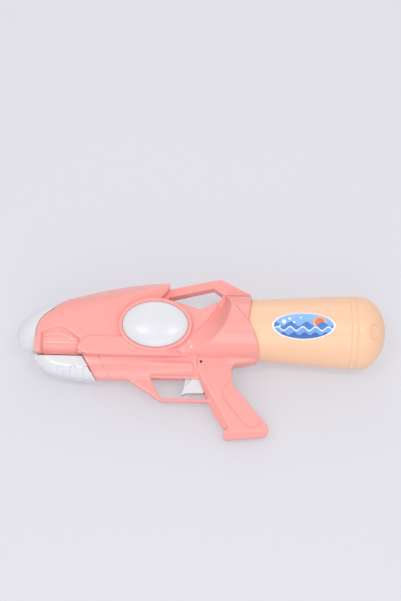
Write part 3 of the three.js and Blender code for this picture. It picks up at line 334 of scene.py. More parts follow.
def hood(wall=0):
    points = [(x, HOOD_FOOT + wall, HOOD_HALF - wall) for x in FOOT_SPAN]
    points += [(x, np.polyval(CREST, x) - wall / 2, HOOD_HALF - wall) for x in CREST_SPAN]
    for x in BROW_SPAN:
        points += ring_of_egg(x, BROW_LEAD - wall)
    for x in STATIONS:
        top, edge = np.polyval(RIDGE, x) - wall, np.polyval(CREST, x) - wall / 2
        half = np.interp(x, *CREST_HALF) - wall
        points += [(x, top + (edge - top) * s ** ROOF_BOW, half * s) for s in (0, 0.25, 0.5, 0.75, 1)]
    points += [(x, y, z - wall) for x, y, z in HOOD_TIP]
    return hull("hood", points + mirrored(points))


def recess(grow=0):
    """Four tools: a sloping hollow and a deeper foot for the barrel, on both sides."""
    points = [(x, y, z) for x, y in inset(RECESS, -grow) for z in (HOOD_HALF, FAR)]
    points += [(x, y, RECESS_FLOOR - grow) for x, y in inset(RECESS_LOW, -grow)]
    foot = inset(RECESS_FOOT, -grow)
    return [hull("recess", points), hull("recess", mirrored(points)),
            plate("foot", foot, FOOT_FLOOR - grow, FAR), plate("foot", foot, -FAR, grow - FOOT_FLOOR)]


def barrel():
    """The round form in the recess, with a flat shelf above it."""
    y, z = BARREL_AT
    angles = np.radians(np.linspace(-90, 0, 24))
    section = [(y + BARREL_R * math.sin(a), z + BARREL_R * math.cos(a)) for a in angles]
    points = [(x, *spot) for x in BARREL_SPAN for spot in (*section, BARREL_TOP)]
    return hull("barrel", points + mirrored(points))


front = hood()
cut(front, *recess(), before_rim(0))
join(front, barrel())
print("hood", len(front.data.polygons), "faces")

# %% [markdown]
# The sleeve is a plain cylinder, but its flank is scooped out in front: a sloping face, a crease and a
# crescent that climbs back to the skin. A Boolean with a round tool would leave a round scoop, so the tool is
# lofted through four rows of points, two of which are the arcs that one sees from the side.

# %% Panel, sleeve and scoop
PANEL = [(79.7, -37), (69.5, -31.2), (69.5, -27.5), (79.7, -17.5), (165, -17.5), (165, -37)]
PANEL_HALF = 28
PANEL_END, PANEL_END_TOP, PANEL_END_FOOT, PANEL_END_HALF = 192, -29, -34.4, 14.5
SLEEVE_R, SLEEVE_X, SLEEVE_END, ROUND = 37, 165, 262.5, 160
INNER_ARC = ((131.7, 65.2), 97.7, -17, -63)
OUTER_ARC = ((178.2, 22.8), 54.3, -2, -92)
FACE_FROM, FACE_HALF, FACE_SLOPE = 120, 20.3, 0.44
CREASE_WIDE, CREASE_DEEP = 3, 3.2


def scoop(side, wall=0):
    inner, outer = arc(*INNER_ARC), arc(*OUTER_ARC)
    face = [(x - CREASE_WIDE, y, side * (FACE_HALF - FACE_SLOPE * y - wall)) for x, y in inner]
    crease = [(x + CREASE_WIDE, y, z - side * CREASE_DEEP) for x, y, z in face]
    skin = [(x, y, side * (math.sqrt(SLEEVE_R ** 2 - y ** 2) - wall)) for x, y in outer]
    ahead = [(FACE_FROM, y, z) for _, y, z in face]
    piece = loft("scoop", ahead, face, crease, skin)
    bpy.ops.mesh.select_all(action="SELECT")
    pull(side * SLEEVE_R)
    return closed(piece)


def scoops(wall=0):
    return [scoop(1, wall), scoop(-1, wall)]


def panel(wall=0):
    points = [(x, y, PANEL_HALF - wall) for x, y in inset(PANEL, wall)]
    end = (PANEL_END_TOP - wall, PANEL_END_FOOT + wall)
    points += [(PANEL_END - wall, y, PANEL_END_HALF - wall) for y in end]
    return cut(hull("panel", points + mirrored(points)), *scoops(wall))


def sleeve(wall=0):
    piece = bar("sleeve", SLEEVE_X + wall, SLEEVE_END + wall, SLEEVE_R - wall, 0, ROUND)
    return cut(piece, *scoops(wall))


middle = join(panel(), sleeve())
print("panel and sleeve", len(middle.data.polygons), "faces")

# %% [markdown]
# The carry bar bridges from the hood to the sleeve, over a window for the fingers. The sleeve's rear edge
# is not straight: it steps forward above the tank's middle, so one stepped plate trims bar and sleeve at
# once. The bezel is an upright oval collar, and its seat is sunk for the white cover.

# %% Carry bar, rear edge, bezel and window
BAR = [(150, 41), (167.5, 42.6), (214, 53.6), (222, 54.4), (254.6, 37.6), (254.6, 10), (150, 10)]
BAR_HALF = 8
WINDOW = [(161, 31), (213.3, 44.4), (223.8, 37.2), (220, 30.3), (198.2, 18.9), (177.8, 26.3)]
REAR = [(255.5, 60), (254.6, 33), (250.6, 2.5), (257, -11), (260, -18.5), (261.8, -26), (262.4, -60)]
OVAL_AT, OVAL_HALF, BEZEL = (151.8, -3.6), (35, 25.1), 4.3
SEAT, SEAT_GAP, BEZEL_HALF = 27, 0.15, 30.4


def collar(name, grow, low, high):
    return plate(name, oval(OVAL_AT, [half + grow for half in OVAL_HALF]), low, high)


join(middle, plate("bar", BAR, -BAR_HALF, BAR_HALF))
cut(middle, plate("behind", [*REAR, (2 * FAR, -FAR), (2 * FAR, FAR)], -FAR, FAR))
body = join(front, middle, collar("bezel", BEZEL, -BEZEL_HALF, BEZEL_HALF))
cut(body, collar("seat", SEAT_GAP, SEAT, FAR), collar("seat", SEAT_GAP, -FAR, -SEAT),
    plate("window", WINDOW, -FAR, FAR))
print("upper body", len(body.data.polygons), "faces")

# %% [markdown]
# ## Block, guard and grip
#
# Below the panel sits the block that holds the pump, with a low rounded ridge over the pump's cylinder. The
# guard is a thinner plate with a hole for the fingers. The grip and the small tail behind it are plates with
# generously rounded edges, because that is where the hand goes. A bevel rounds a plate's edges evenly, so
# the grip's front edge and heel, which are planed off wider, are cut with wedges first.

# %% Sizes of the block, guard, grip and tail
BLOCK = [(74.2, -36), (87.9, -59), (148, -59), (148, -57), (197, -57), (197, -28), (74.2, -28)]
BLOCK_HALF, GUARD_HALF, GRIP_HALF = 14.5, 8, 12
# Each part of the keel: the x of its two ends, then heights and half widths down its side
KEEL_FRONT = (74.2, 147.3), [(-20, 16), (-40, 14.5), (-45, 13.9), (-49, 13), (-53, 11.6), (-56, 10.2),
                             (-59, 8)]
KEEL_REAR = (146, 197), [(-20, 16), (-40, 14.5), (-45, 13.8), (-49, 12.8), (-52, 11.4), (-54.5, 9.2),
                         (-57, 5)]
RIDGE_POINTS = [(126, -41, 13.8), (126, -48, 12.6), (126, -54, 10.4), (190.5, -41, 16.4), (193.5, -45, 16.4),
                (193.5, -50, 14.9), (193.5, -54, 10.8), (193.5, -57, 5)]
GUARD = [(118, -55), (122.6, -59), (158.9, -81.9), (213, -81.6), (213, -55)]
FINGERS = [(147.3, -57), (158.9, -78.6), (213, -78.6), (213, -57)]
GRIP = [(197, -28), (197, -51), (209.6, -82), (219, -98.5), (227.8, -111), (226.7, -115.5), (227.6, -119.6),
        (230, -121.2), (268.5, -117.2), (273.4, -114.6), (275, -111), (272.4, -105), (268.4, -100.7),
        (235.6, -63), (234.8, -55), (234.3, -46), (236, -42), (240, -38), (240, -28)]
# Each facet: where its line starts and ends, and how steeply it falls away outwards
GRIP_FACETS = ((198.2, -47.7), (233.2, -108.9), 1.12), ((226, -114.4), (278, -111), 0.8)
FACET_IN, FACET_OUT = 4, 14
GRIP_ROUND = 2.4
TAIL = [(226, -25), (226, -41.5), (235, -40.9), (246, -39.6), (256, -37.8), (261.5, -35.6), (266, -31),
        (270, -25)]
TAIL_END = [(262.4, -60), (290, -60), (290, 0), (262.4, 0)]
TAIL_HALF, TAIL_ROUND = 13.4, 4.5


# %% Block, guard, grip and tail
def keel(wall=0):
    """The block's cross-section: its sides draw in towards the bottom."""
    made = []
    for ends, section in (KEEL_FRONT, KEEL_REAR):
        points = [(x, y + wall / 2, half - wall) for x in ends for y, half in section]
        made.append(hull("keel", points + mirrored(points)))
    return join(*made)


def wedges(start, end, skin, fall):
    """Two wedges that plane an edge off, from a line on the skin outwards and down, on both sides."""
    along = (Vector(end) - Vector(start)).normalized()
    outwards = Vector((along.y, -along.x))
    points = []
    for spot in (start, end):
        for step, z in ((-FACET_IN, skin + FACET_IN * fall), (FACET_OUT, skin - FACET_OUT * fall),
                        (FACET_OUT, 2 * skin)):
            points.append((*(Vector(spot) + step * outwards), z))
    return [hull("wedge", points), hull("wedge", mirrored(points))]


def grip_form(wall=0):
    piece = plate("grip", inset(GRIP, wall), wall - GRIP_HALF, GRIP_HALF - wall)
    for start, end, fall in GRIP_FACETS:
        cut(piece, *wedges(start, end, GRIP_HALF - wall * math.hypot(1, fall), fall))
    return piece


guard = cut(plate("guard", GUARD, -GUARD_HALF, GUARD_HALF), plate("fingers", FINGERS, -FAR, FAR))
grip = bevelled(grip_form(), GRIP_ROUND, 4)
block = keep(plate("block", BLOCK, -BLOCK_HALF, BLOCK_HALF), keel())
ridge = hull("ridge", RIDGE_POINTS + mirrored(RIDGE_POINTS))
tail = cut(pebble("tail", TAIL, TAIL_HALF, TAIL_ROUND), plate("end", TAIL_END, -FAR, FAR))
join(body, block, ridge, guard, grip, tail)
print("whole body", len(body.data.polygons), "faces")

# %% [markdown]
# ## One moulded skin
#
# The block-out has knife-sharp joins, which no moulding has. Bevels fail where many forms meet, so a voxel
# remesh turns the whole body into one skin of small even faces, and a few rounds of smoothing give every
# edge and inner corner a small radius. The fine lines are cut after that, so that they stay crisp.

# %% Soften the body
SKIN_VOXEL, SKIN_ROUNDS = 0.7, 8
melted(body, SKIN_VOXEL, SKIN_ROUNDS)
print("soft body", len(body.data.polygons), "faces")

# %% Panel lines
GRIP_LINE = [(233.2, -61), (229, -64), (225.8, -67), (224.5, -71), (225.4, -75), (229.5, -82.3),
             (245.8, -102), (250.4, -107), (255.4, -108.7), (260.5, -107.5), (267.5, -103)]
BAR_LINE = [(225.5, 36.4), (252.5, 36.6)]
BLOCK_LINE, BLOCK_LINE_WIDE, BLOCK_LINE_SPAN = [(91, -36.6), (107.6, -63)], 0.8, (5, 20)
BLOCK_CORE, KEEL_CORE = 13.9, 0.5
FOLD_LINE, FOLD_WIDE, FOLD_DEEP = [(237.3, 19), (250.9, 0.5)], 0.7, 0.6
FOLD_SPAN, FOLD_HEIGHTS = (200, 270), (10, 60)
# Lines on flat skins: the points, the width and the height of the skin
FLAT_LINES = (GRIP_LINE, 0.9, 11.9), (BAR_LINE, 0.8, 7.9)
LINE_DEEP, LINE_CLEAR = 0.5, 3


def on_side(side, name, outline, low, high):
    """A plate that lies between two heights on one side of the toy."""
    return plate(name, outline, *sorted((side * low, side * high)))


lines = []
for side in (1, -1):
    for line, width, skin in FLAT_LINES:
        lines.append(on_side(side, "line", ribbon(line, width), skin - LINE_DEEP, skin + LINE_CLEAR))
    step = on_side(side, "step", ribbon(BLOCK_LINE, BLOCK_LINE_WIDE), *BLOCK_LINE_SPAN)
    lines.append(cut(step, keep(plate("core", BLOCK, -BLOCK_CORE, BLOCK_CORE), keel(KEEL_CORE))))
    fold = on_side(side, "fold", ribbon(FOLD_LINE, FOLD_WIDE), *FOLD_HEIGHTS)
    lines.append(cut(fold, bar("core", *FOLD_SPAN, SLEEVE_R - FOLD_DEEP, 0, ROUND)))
print(len(lines), "line cutters")

# %% [markdown]
# ## Hollow it out
#
# A real shell is a thin wall, and one could give the skin a Solidify modifier, but on so many faces that
# would fold over itself. The same forms, one wall smaller, make the hollow instead. It keeps its walls round
# the window, the recess and the oval's seat. Bosses for the seam screws go back in, and then come the rooms
# for the trigger, the pump and the screw heads, which are let in from the right side.

# %% Hollow
SCREWS = [(60, 8), (97, 4), (137.5, -62.4), (209, 8), (238, 41), (226, -66), (249, -112)]
HOOD_ROOM_END, NOSE_ROOM = 152, 1.4
BOSS_R, PIN_BOSS_R = 5, 4

behind = plate("rear", [(HOOD_ROOM_END, -FAR), (FAR, -FAR), (FAR, FAR), (HOOD_ROOM_END, FAR)], -FAR, FAR)
hollow = cut(hood(WALL), behind, before_rim(WALL))
join(hollow, collar("drum", -WALL, WALL - SEAT, SEAT - WALL), panel(WALL), sleeve(WALL), egg(NOSE_ROOM))
cut(hollow, *recess(WALL), plate("window", inset(WINDOW, -WALL), -FAR, FAR))
cut(hollow, collar("bezel", BEZEL, SEAT - WALL, FAR), collar("bezel", BEZEL, -FAR, WALL - SEAT))
join(hollow, keep(plate("block", inset(BLOCK, WALL), WALL - BLOCK_HALF, BLOCK_HALF - WALL), keel(WALL)))
join(hollow, grip_form(WALL))
bosses = [post("boss", at, -SLEEVE_R, SLEEVE_R, BOSS_R) for at in SCREWS]
cut(hollow, *bosses, post("boss", PIVOT, -FAR, FAR, PIN_BOSS_R))
print("hollow", len(hollow.data.polygons), "faces")

# %% Rooms for the works, and the two halves
BLADE = [(187, -50), (184.4, -56.5), (184, -64.4), (180.6, -73.2), (182, -74.6), (186.3, -72.6), (205, -72),
         (207.5, -62), (207, -45), (203.4, -34.9), (203.4, -17.5), (199.4, -17.5), (199.4, -38.9)]
PULL, BLADE_GAP, BLADE_ROOM = math.radians(12), 0.6, 5.6
HUB_HALF, HUB_R, PIN_R = 5.3, 4.6, 1.45
PUMP_Y, PUMP_ROOM, ROD_ROOM, CAP_ROOM = -47, (87.8, 181.8, 7.9), (44, 92, 3.3), (230, 250.5, 31.1)
HEAD_FLOOR, HEAD_R, PILOT_LOW, PILOT_HIGH, PILOT_R = -4.5, 3.1, -4.8, 6.8, 1.6
SEAM, SEAM_BOX, SEAM_FAR = 0.15, [(-50, -200), (350, -200), (350, 150), (-50, 150)], 100
THINNING = 0.93


def swung(outline, angle):
    px, py = PIVOT
    c, s = math.cos(angle), math.sin(angle)
    return [(px + c * (x - px) - s * (y - py), py + s * (x - px) + c * (y - py)) for x, y in outline]


def screw_room(at):
    return [post("head", at, -FAR, HEAD_FLOOR, HEAD_R), post("pilot", at, PILOT_LOW, PILOT_HIGH, PILOT_R)]


def half_of(piece, side, name):
    """One half of a two-part moulding, a hair short of the seam."""
    return keep(copy_of(piece, name), on_side(side, "half", SEAM_BOX, SEAM, SEAM_FAR))


rooms = [plate("room", swung(inset(BLADE, -BLADE_GAP), PULL * share), -BLADE_ROOM, BLADE_ROOM)
         for share in (0, 0.5, 1)]
rooms += [post("hub", PIVOT, -HUB_HALF, HUB_HALF, HUB_R), post("pin", PIVOT, -FAR, FAR, PIN_R)]
rooms += [bar("pump", *PUMP_ROOM, PUMP_Y), bar("rod", *ROD_ROOM, PUMP_Y), bar("cap", *CAP_ROOM, 0, 96)]
for at in SCREWS:
    rooms += screw_room(at)
cut(body, hollow, *rooms, *lines)
left, right = half_of(body, 1, "shell_left_moulded"), half_of(body, -1, "shell_right_moulded")
bpy.data.objects.remove(body)
for half in (left, right):
    modified(half, "DECIMATE", ratio=THINNING)
print("left", len(left.data.polygons), "right", len(right.data.polygons), "faces")

# %% [markdown]
# ## Nose, nozzle and oval covers
#
# The white nose is the same egg that shaped the hood's brow, trimmed along the hood's rim with a hair of
# a gap. A thinner tongue reaches behind the rim, so nothing shows through the gap. The nozzle is a turned
# tip in a flat land. The covers are shallow domes: they could be cut from a ball, but a profile spun about
# the oval's middle and then squeezed gives them an even wall.

# %% Nose
NOZZLE_Y = -14.5
RIM_GAP, TONGUE_THIN, TONGUE_LONG, TONGUE_CLEAR = 0.9, 1.9, 14, 2.7
NOSE_HOLLOW, NOSE_EDGE = 4.1, 0.35
BORE, LAND = (-40, 16, 4.3), (-40, 0.7, 8)

nose = keep(egg(0), before_rim(-RIM_GAP))
join(nose, cut(keep(egg(TONGUE_THIN), before_rim(TONGUE_LONG)), *recess(TONGUE_CLEAR)))
cut(nose, egg(NOSE_HOLLOW), bar("bore", *BORE, NOZZLE_Y), bar("land", *LAND, NOZZLE_Y))
nose.name = "nose_moulded"
bevelled(nose, NOSE_EDGE, 2)

# %% Nozzle
TIP = [(16, 1), (16, 1.7), (11, 1.7), (11, 4), (1.6, 4), (1, 3.8), (0.6, 3.3), (0.6, 2.2), (2.2, 1), (16, 1)]
nozzle = spun("nozzle_turned", [(x, NOZZLE_Y + r) for x, r in TIP], (0, NOZZLE_Y), steps=64)
print("nose", len(nose.data.polygons), "nozzle", len(nozzle.data.polygons), "faces")

# %% Oval covers
APEX, COVER_WALL, COVER_FOOT, COVER_EDGE = 37.75, 1.8, SEAT + 0.3, SEAT + 2.6
PEG_STEP, PEG_LOW, PEG_HIGH, PEG_R = 20, 22, 35.6, 2


def dome(half, low, high):
    angles = np.radians(np.linspace(0, 90, 18))
    return [(half * math.cos(a), 0, low + (high - low) * math.sin(a)) for a in angles]


outside = dome(OVAL_HALF[0], COVER_EDGE, APEX)
lining = dome(OVAL_HALF[0] - COVER_WALL, COVER_FOOT, APEX - COVER_WALL)[::-1]
foot = (OVAL_HALF[0], 0, COVER_FOOT)
cover = spun("cover_left_moulded", [foot, *outside, *lining, foot], axis=(0, 0, 1), steps=128)
to_oval = Matrix.Translation(mm(OVAL_AT))
moved(cover, to_oval @ Matrix.Diagonal((1, OVAL_HALF[1] / OVAL_HALF[0], 1, 1)))
for step in (-PEG_STEP, PEG_STEP):
    join(cover, post("peg", (OVAL_AT[0] + step, OVAL_AT[1]), PEG_LOW, PEG_HIGH, PEG_R))
other_cover = copy_of(cover, "cover_right_moulded")
moved(other_cover, to_oval @ Matrix.Rotation(math.pi, 4, "X") @ to_oval.inverted())
print("cover", len(cover.data.polygons), "faces")

# %% [markdown]
# ## Pump handle
#
# The fore-end that the hand pulls is a rounded slab in two halves, with raised ribs for grip. The ribs are
# cut from a slightly thicker slab of the same outline, so they follow its round edges, and a gentle melt
# blends them in. Its rear end is trimmed after the melt, so it meets the block along a clean line.

# %% Sizes of the pump handle
HANDLE_BOW = [(18.9, -36.9), (20.4, -39.2), (22.3, -41.5), (24.6, -44.2), (27, -46.6), (30.6, -50), (35, -53),
              (39.3, -54.9), (44, -56.2), (50, -57.2), (57, -58.1), (70.2, -59.7)]
HANDLE = [*HANDLE_BOW, (89.5, -61.5), (74.4, -36.9)]
HANDLE_END = [(73.15, -36), (93.4, -70), (120, -70), (120, -36)]
BOAT = [(8.7, -23.7), *HANDLE_BOW, (122, -64.7), (122, -23.7)]
HANDLE_HALF, HANDLE_ROUND, HANDLE_VOXEL, HANDLE_ROUNDS = 16, 12, 0.5, 5
RIBS, RIB_HALF, RIB_TOP, RIB_FOOT, RIB_HIGH, RIB_REACH = (51.3, 65.3, 79.3), 3.2, -51.8, -80, 1.2, 20
CLAMP = [(47, -90), (57, -90), (57, 0), (47, 0)]
HANDLE_SCREWS, HANDLE_BOSS_R = [(34, -45), (75.5, -54.4)], 4.7
ROD_SEAT, FLANGE_SEAT = (43.7, 92, 3.3), (50.7, 53.3, 6.3)


# %% Pump handle
def boat(grow=0):
    """A longer pebble that gives the handle its round underside."""
    return pebble("boat", inset(BOAT, -grow), HANDLE_HALF + grow, HANDLE_ROUND + grow)


def slab(name, outline, half):
    return plate(name, outline, -half, half)


handle = keep(slab("handle", HANDLE, HANDLE_HALF), boat())
ribs = keep(slab("ribs", HANDLE, HANDLE_HALF + RIB_HIGH), boat(RIB_HIGH))
strips = []
for x in RIBS:
    tongue = [(x - RIB_HALF, RIB_FOOT), (x + RIB_HALF, RIB_FOOT), *arc((x, RIB_TOP), RIB_HALF, 0, 180, 12)]
    strips.append(slab("strip", tongue, RIB_REACH))
join(handle, keep(ribs, join(*strips)))
melted(handle, HANDLE_VOXEL, HANDLE_ROUNDS)
cut(handle, slab("end", HANDLE_END, FAR))
inside = keep(slab("inside", inset(HANDLE, WALL), HANDLE_HALF - WALL), boat(-WALL))
cut(inside, slab("clamp", CLAMP, FAR), *[post("boss", at, -FAR, FAR, HANDLE_BOSS_R) for at in HANDLE_SCREWS])
cut(handle, inside)
cut(handle, bar("rod", *ROD_SEAT, PUMP_Y), bar("flange", *FLANGE_SEAT, PUMP_Y))
for at in HANDLE_SCREWS:
    cut(handle, *screw_room(at))
near_half, far_half = half_of(handle, 1, "handle_near_moulded"), half_of(handle, -1, "handle_far_moulded")
bpy.data.objects.remove(handle)
print("handle halves", len(near_half.data.polygons), len(far_half.data.polygons), "faces")

# %% [markdown]
# ## Trigger
#
# The trigger is a small lever: a curved finger blade below the pin and a forked arm above it. A plate with
# bevelled edges gives the blade, a low rib and a shallow pocket cross it, and a fine melt softens the joins
# before the fork and the pin's hole are cut sharp.

# %% Trigger
SMOOTH_BLADE = [(187, -50), (185.4, -53.2), (184.4, -56.5), (184.2, -60.4), (184, -64.4), (182.6, -69),
                (180.6, -73.2), (181, -74.4), (182, -74.6), (186.3, -72.6), (205, -72), (207.5, -62),
                (207, -45), (203.4, -34.9), (203.4, -17.5), (199.4, -17.5), (199.4, -38.9)]
BLADE_HALF, BLADE_ROUND, BLADE_VOXEL, BLADE_ROUNDS = 5, 1, 0.35, 3
POCKET, POCKET_SPAN = [(186.4, -54), (192.8, -54), (187.4, -62.6), (185.9, -62.6)], (3.9, 7)
RIB_LINE, RIB_WIDE, RIB_TOP_HALF, RIB_ROUND = [(195.4, -53), (191.8, -58.2), (187.2, -65)], 2, 5.6, 0.4
FORK, FORK_HALF, TRIGGER_BORE = [(197, -24.7), (206, -24.7), (206, 0), (197, 0)], 2.1, 1.7

trigger = bevelled(slab("trigger_moulded", SMOOTH_BLADE, BLADE_HALF), BLADE_ROUND, 3)
for side in (1, -1):
    cut(trigger, on_side(side, "pocket", POCKET, *POCKET_SPAN))
join(trigger, bevelled(slab("rib", ribbon(RIB_LINE, RIB_WIDE), RIB_TOP_HALF), RIB_ROUND, 2, 50))
melted(trigger, BLADE_VOXEL, BLADE_ROUNDS)
cut(trigger, slab("fork", FORK, FORK_HALF), post("pin", PIVOT, -FAR, FAR, TRIGGER_BORE))
print("trigger", len(trigger.data.polygons), "faces")

# %% [markdown]
# ## Tank, label and plug
#
# The tank is blow-moulded, so it is a clean spun profile: a straight mouth inside the sleeve, a slow flare,
# two shallow grooves and a rounded end. Its Booleans use the exact solver, which leaves the even rings of the
# long flare as they are. The label is a thin oval cut from a second skin just above the tank's. The plug sits
# in a round seat on the rear shoulder, and its axis leans back and down.

# %% Tank profile
MOUTH_R, WIDE_R, DOME_X, DOME, TANK_END, TANK_WALL = 33.5, 39.46, 371, 29, 400, 1.8
FLARE_FROM, FLARE_TO, BELLY = 262.5, 359, 0.3
FLARE = np.linspace(264, 358, 12)
GROOVES, GROOVE_HALF, GROOVE_DEEP = (360, 366.6), 0.8, 0.6
MOUTH_X, STRAIGHT_END, LAST_RING = 250.5, 261, 369.6
# The mouth's edge is rounded: steps back from its end, and in from its radius
LIP = (0, -1), (0.3, -0.3), (1, 0)


def flare_radius(x):
    """A slow flare with a trace of belly in it."""
    belly = BELLY * np.sin(math.pi * (x - FLARE_FROM) / (FLARE_TO - FLARE_FROM))
    return np.interp(x, (FLARE_FROM, FLARE_TO), (MOUTH_R, WIDE_R)) + belly


def tank_profile(grow):
    wall = [(STRAIGHT_END, MOUTH_R), *zip(FLARE, flare_radius(FLARE))]
    for at in GROOVES:
        for s in np.linspace(-GROOVE_HALF, GROOVE_HALF, 9):
            wall.append((at + s, WIDE_R - GROOVE_DEEP * math.cos(math.pi * s / (2 * GROOVE_HALF)) ** 2))
    wall += [(LAST_RING, WIDE_R), (DOME_X, WIDE_R - 0.02)]
    angles = np.radians(np.linspace(0, 90, 26))[1:-1]
    end = [(DOME_X + (DOME + grow) * math.sin(a), (WIDE_R + grow) * math.cos(a)) for a in angles]
    start = MOUTH_X - grow
    mouth = [(start, 0), *[(start + x, MOUTH_R + grow + r) for x, r in LIP]]
    return [*mouth, *[(x, r + grow) for x, r in wall], *end, (TANK_END + grow, 0)]


# %% Plug axis
TILT, DROP = math.radians(37), math.radians(12)
reach = math.hypot(DOME * math.sin(TILT), WIDE_R * math.cos(TILT))
back, out = DOME ** 2 * math.sin(TILT) / reach, WIDE_R ** 2 * math.cos(TILT) / reach
plug_at = Vector((DOME_X + back, -out * math.sin(DROP), out * math.cos(DROP)))
plug_axis = Vector((math.sin(TILT), -math.cos(TILT) * math.sin(DROP), math.cos(TILT) * math.cos(DROP)))
along_plug = Matrix.Translation(plug_at / 1000) @ plug_axis.to_track_quat("X", "Z").to_matrix().to_4x4()
print("plug at", [round(v, 1) for v in plug_at])


def plug_part(name, profile):
    return moved(spun(name, profile, steps=64), along_plug)


def plug_bar(name, low, high, radius):
    return plug_part(name, [(low, 0), (low, radius), (high, radius), (high, 0)])


# %% Tank
SINK = [(-3, 0), (-3, 7.9), (-1.37, 7.9), (-1.3, 8.4), (-1.15, 9.4), (-0.9, 10.6), (8, 10.6), (8, 0)]
PLUG_BOSS, PLUG_HOLE = (-6.6, 2.2, 9.7), (-75, 8, 4.9)
NECK, MOUTH = (241.5, 252.3, 28), (241, 254.1, 26.2)

tank = spun("tank_blown", tank_profile(0), steps=ROUND)
boss = keep(plug_bar("boss", *PLUG_BOSS), copy_of(tank, "skin"))
combine(tank, "DIFFERENCE", [spun("inside", tank_profile(-TANK_WALL), steps=ROUND)], "EXACT")
combine(tank, "UNION", [boss, bar("neck", *NECK, 0, 96)], "EXACT")
combine(tank, "DIFFERENCE", [bar("mouth", *MOUTH, 0, 96)], "EXACT")
combine(tank, "DIFFERENCE", [join(plug_part("sink", SINK), plug_bar("hole", *PLUG_HOLE))], "EXACT")
print("tank", len(tank.data.polygons), "faces")

# %% Label and plug
LABEL_AT, LABEL_HALF, LABEL_LIFT, LABEL_TOP, LABEL_FROM = (309, -3), (33.5, 14.5), 0.3, 0.6, 16
HEAD = [(-2.7, 0), (-2.7, 7.2), (-2.5, 7.6), (-2.2, 7.75), (-1.6, 7.75), (-1.42, 7.6), (-1.6, 6.5), (-1.8, 5),
        (-1.95, 3), (-2.05, 0)]
SHANK = [(-10.7, 0), (-10.7, 4.2), (-10.3, 4.6), (-9.4, 4.6), (-9.4, 3), (-7.2, 3), (-7.2, 4.6), (-2.4, 4.6),
         (-2.4, 0)]

spots = np.linspace(272, 346, 19)
under = list(zip(spots, flare_radius(spots) + LABEL_LIFT))
over = list(zip(spots, flare_radius(spots) + LABEL_TOP))
label = spun("label_film", [*over, *under[::-1], over[0]], steps=2 * ROUND)
keep(label, plate("oval", oval(LABEL_AT, LABEL_HALF, ROUND), LABEL_FROM, FAR))
plug = join(plug_part("plug_moulded", HEAD), plug_part("shank", SHANK))
print("label", len(label.data.polygons), "plug", len(plug.data.polygons), "faces")

# %% [markdown]
# ## Screws
#
# Nine alike screws close the seams. One is modelled, with a domed head and a cross slot, and then copied.
# Each copy keeps its own mesh, so each can be repainted by itself.

# %% Screws
SHAFT = [(0, 0, 6.5), (0.9, 0, 6.3), (1.3, 0, 5.4), (1.3, 0, -4.8), (2.8, 0, -4.8), (2.8, 0, -5.6),
         (2.5, 0, -6.2), (1.6, 0, -6.5), (0, 0, -6.6)]
SLOT_LONG, SLOT_WIDE, SLOT_FLOOR = 1.7, 0.35, -5.7

screw = spun("screw", SHAFT, axis=(0, 0, 1), steps=32)
for a, b in ((SLOT_LONG, SLOT_WIDE), (SLOT_WIDE, SLOT_LONG)):
    cut(screw, plate("slot", [(-a, -b), (a, -b), (a, b), (-a, b)], -8, SLOT_FLOOR))
screws = {}
for group, places in (("body_screw", SCREWS), ("handle_screw", HANDLE_SCREWS)):
    for number, at in enumerate(places, 1):
        name = f"{group}_{number}"
        screws[name] = moved(copy_of(screw, name + "_turned"), Matrix.Translation(mm(at)))
bpy.data.objects.remove(screw)
print(len(screws), "screws")

# %% [markdown]
# ## Materials
#
# Plastics are never one flat colour. A picture could be wrapped round each piece, but a computed pattern
# needs no unwrapping and stays sharp. Each material has a faint cloudiness from the moulding, a little change
# of gloss and a very fine skin grain, all drawn in the object's own millimetres.

# %% Colour and node tools
def colour(code):
    """An sRGB hex code as linear values."""
    values = [int(code[i:i + 2], 16) / 255 for i in (1, 3, 5)]
    return [v / 12.92 if v <= 0.04045 else ((v + 0.055) / 1.055) ** 2.4 for v in values] + [1]


def node(tree, kind, inputs=None, **settings):
    """Adds one node. An input is a plain value, or a socket or node to link from."""
    made = tree.nodes.new("ShaderNode" + kind)
    for key, value in settings.items():
        setattr(made, key, value)
    for key, value in (inputs or {}).items():
        if isinstance(value, bpy.types.Node):
            value = value.outputs[0]
        if isinstance(value, bpy.types.NodeSocket):
            tree.links.new(value, made.inputs[key])
        else:
            made.inputs[key].default_value = value
    return made


def blank(name):
    material = bpy.data.materials.new(name)
    material.use_nodes = True
    material.node_tree.nodes.clear()
    return material, material.node_tree


# A real mould's grain is about a tenth of a millimetre wide. It is drawn coarser here, so that it shows.
def grainy(name, code, shade, gloss, cloud_mm=40, grain_mm=0.6, depth_mm=0.02, **extra):
    """A moulded surface between two tones, with a cloudy gloss and a fine grain."""
    material, tree = blank(name)
    place = node(tree, "TexCoord").outputs["Object"]
    cloud = node(tree, "TexNoise", {"Vector": place, "Scale": 1000 / cloud_mm, "Detail": 4}).outputs["Fac"]
    grain = node(tree, "TexNoise", {"Vector": place, "Scale": 1000 / grain_mm, "Detail": 2}).outputs["Fac"]
    tone = node(tree, "Mix", {0: cloud, 6: colour(code), 7: colour(shade)}, data_type="RGBA").outputs[2]
    rough = node(tree, "MapRange", {"Value": cloud, "To Min": gloss[0], "To Max": gloss[1]})
    bump = node(tree, "Bump", {"Height": grain, "Distance": depth_mm / 1000, "Strength": 0.6})
    shader = node(tree, "BsdfPrincipled", {"Base Color": tone, "Roughness": rough, "Normal": bump, **extra})
    node(tree, "OutputMaterial", {"Surface": shader})
    return material


# %% The plastics, the rubber and the steel
# Pink ABS from a polished mould: an even satin gloss with soft lines of light along the edges
pink = grainy("pink ABS", "#f9a8a2", "#f7a19b", (0.19, 0.25))
# White polypropylene, moulded: a waxy gloss, a little duller than the ABS
white = grainy("white polypropylene", "#e2e2e7", "#dddee3", (0.24, 0.31))
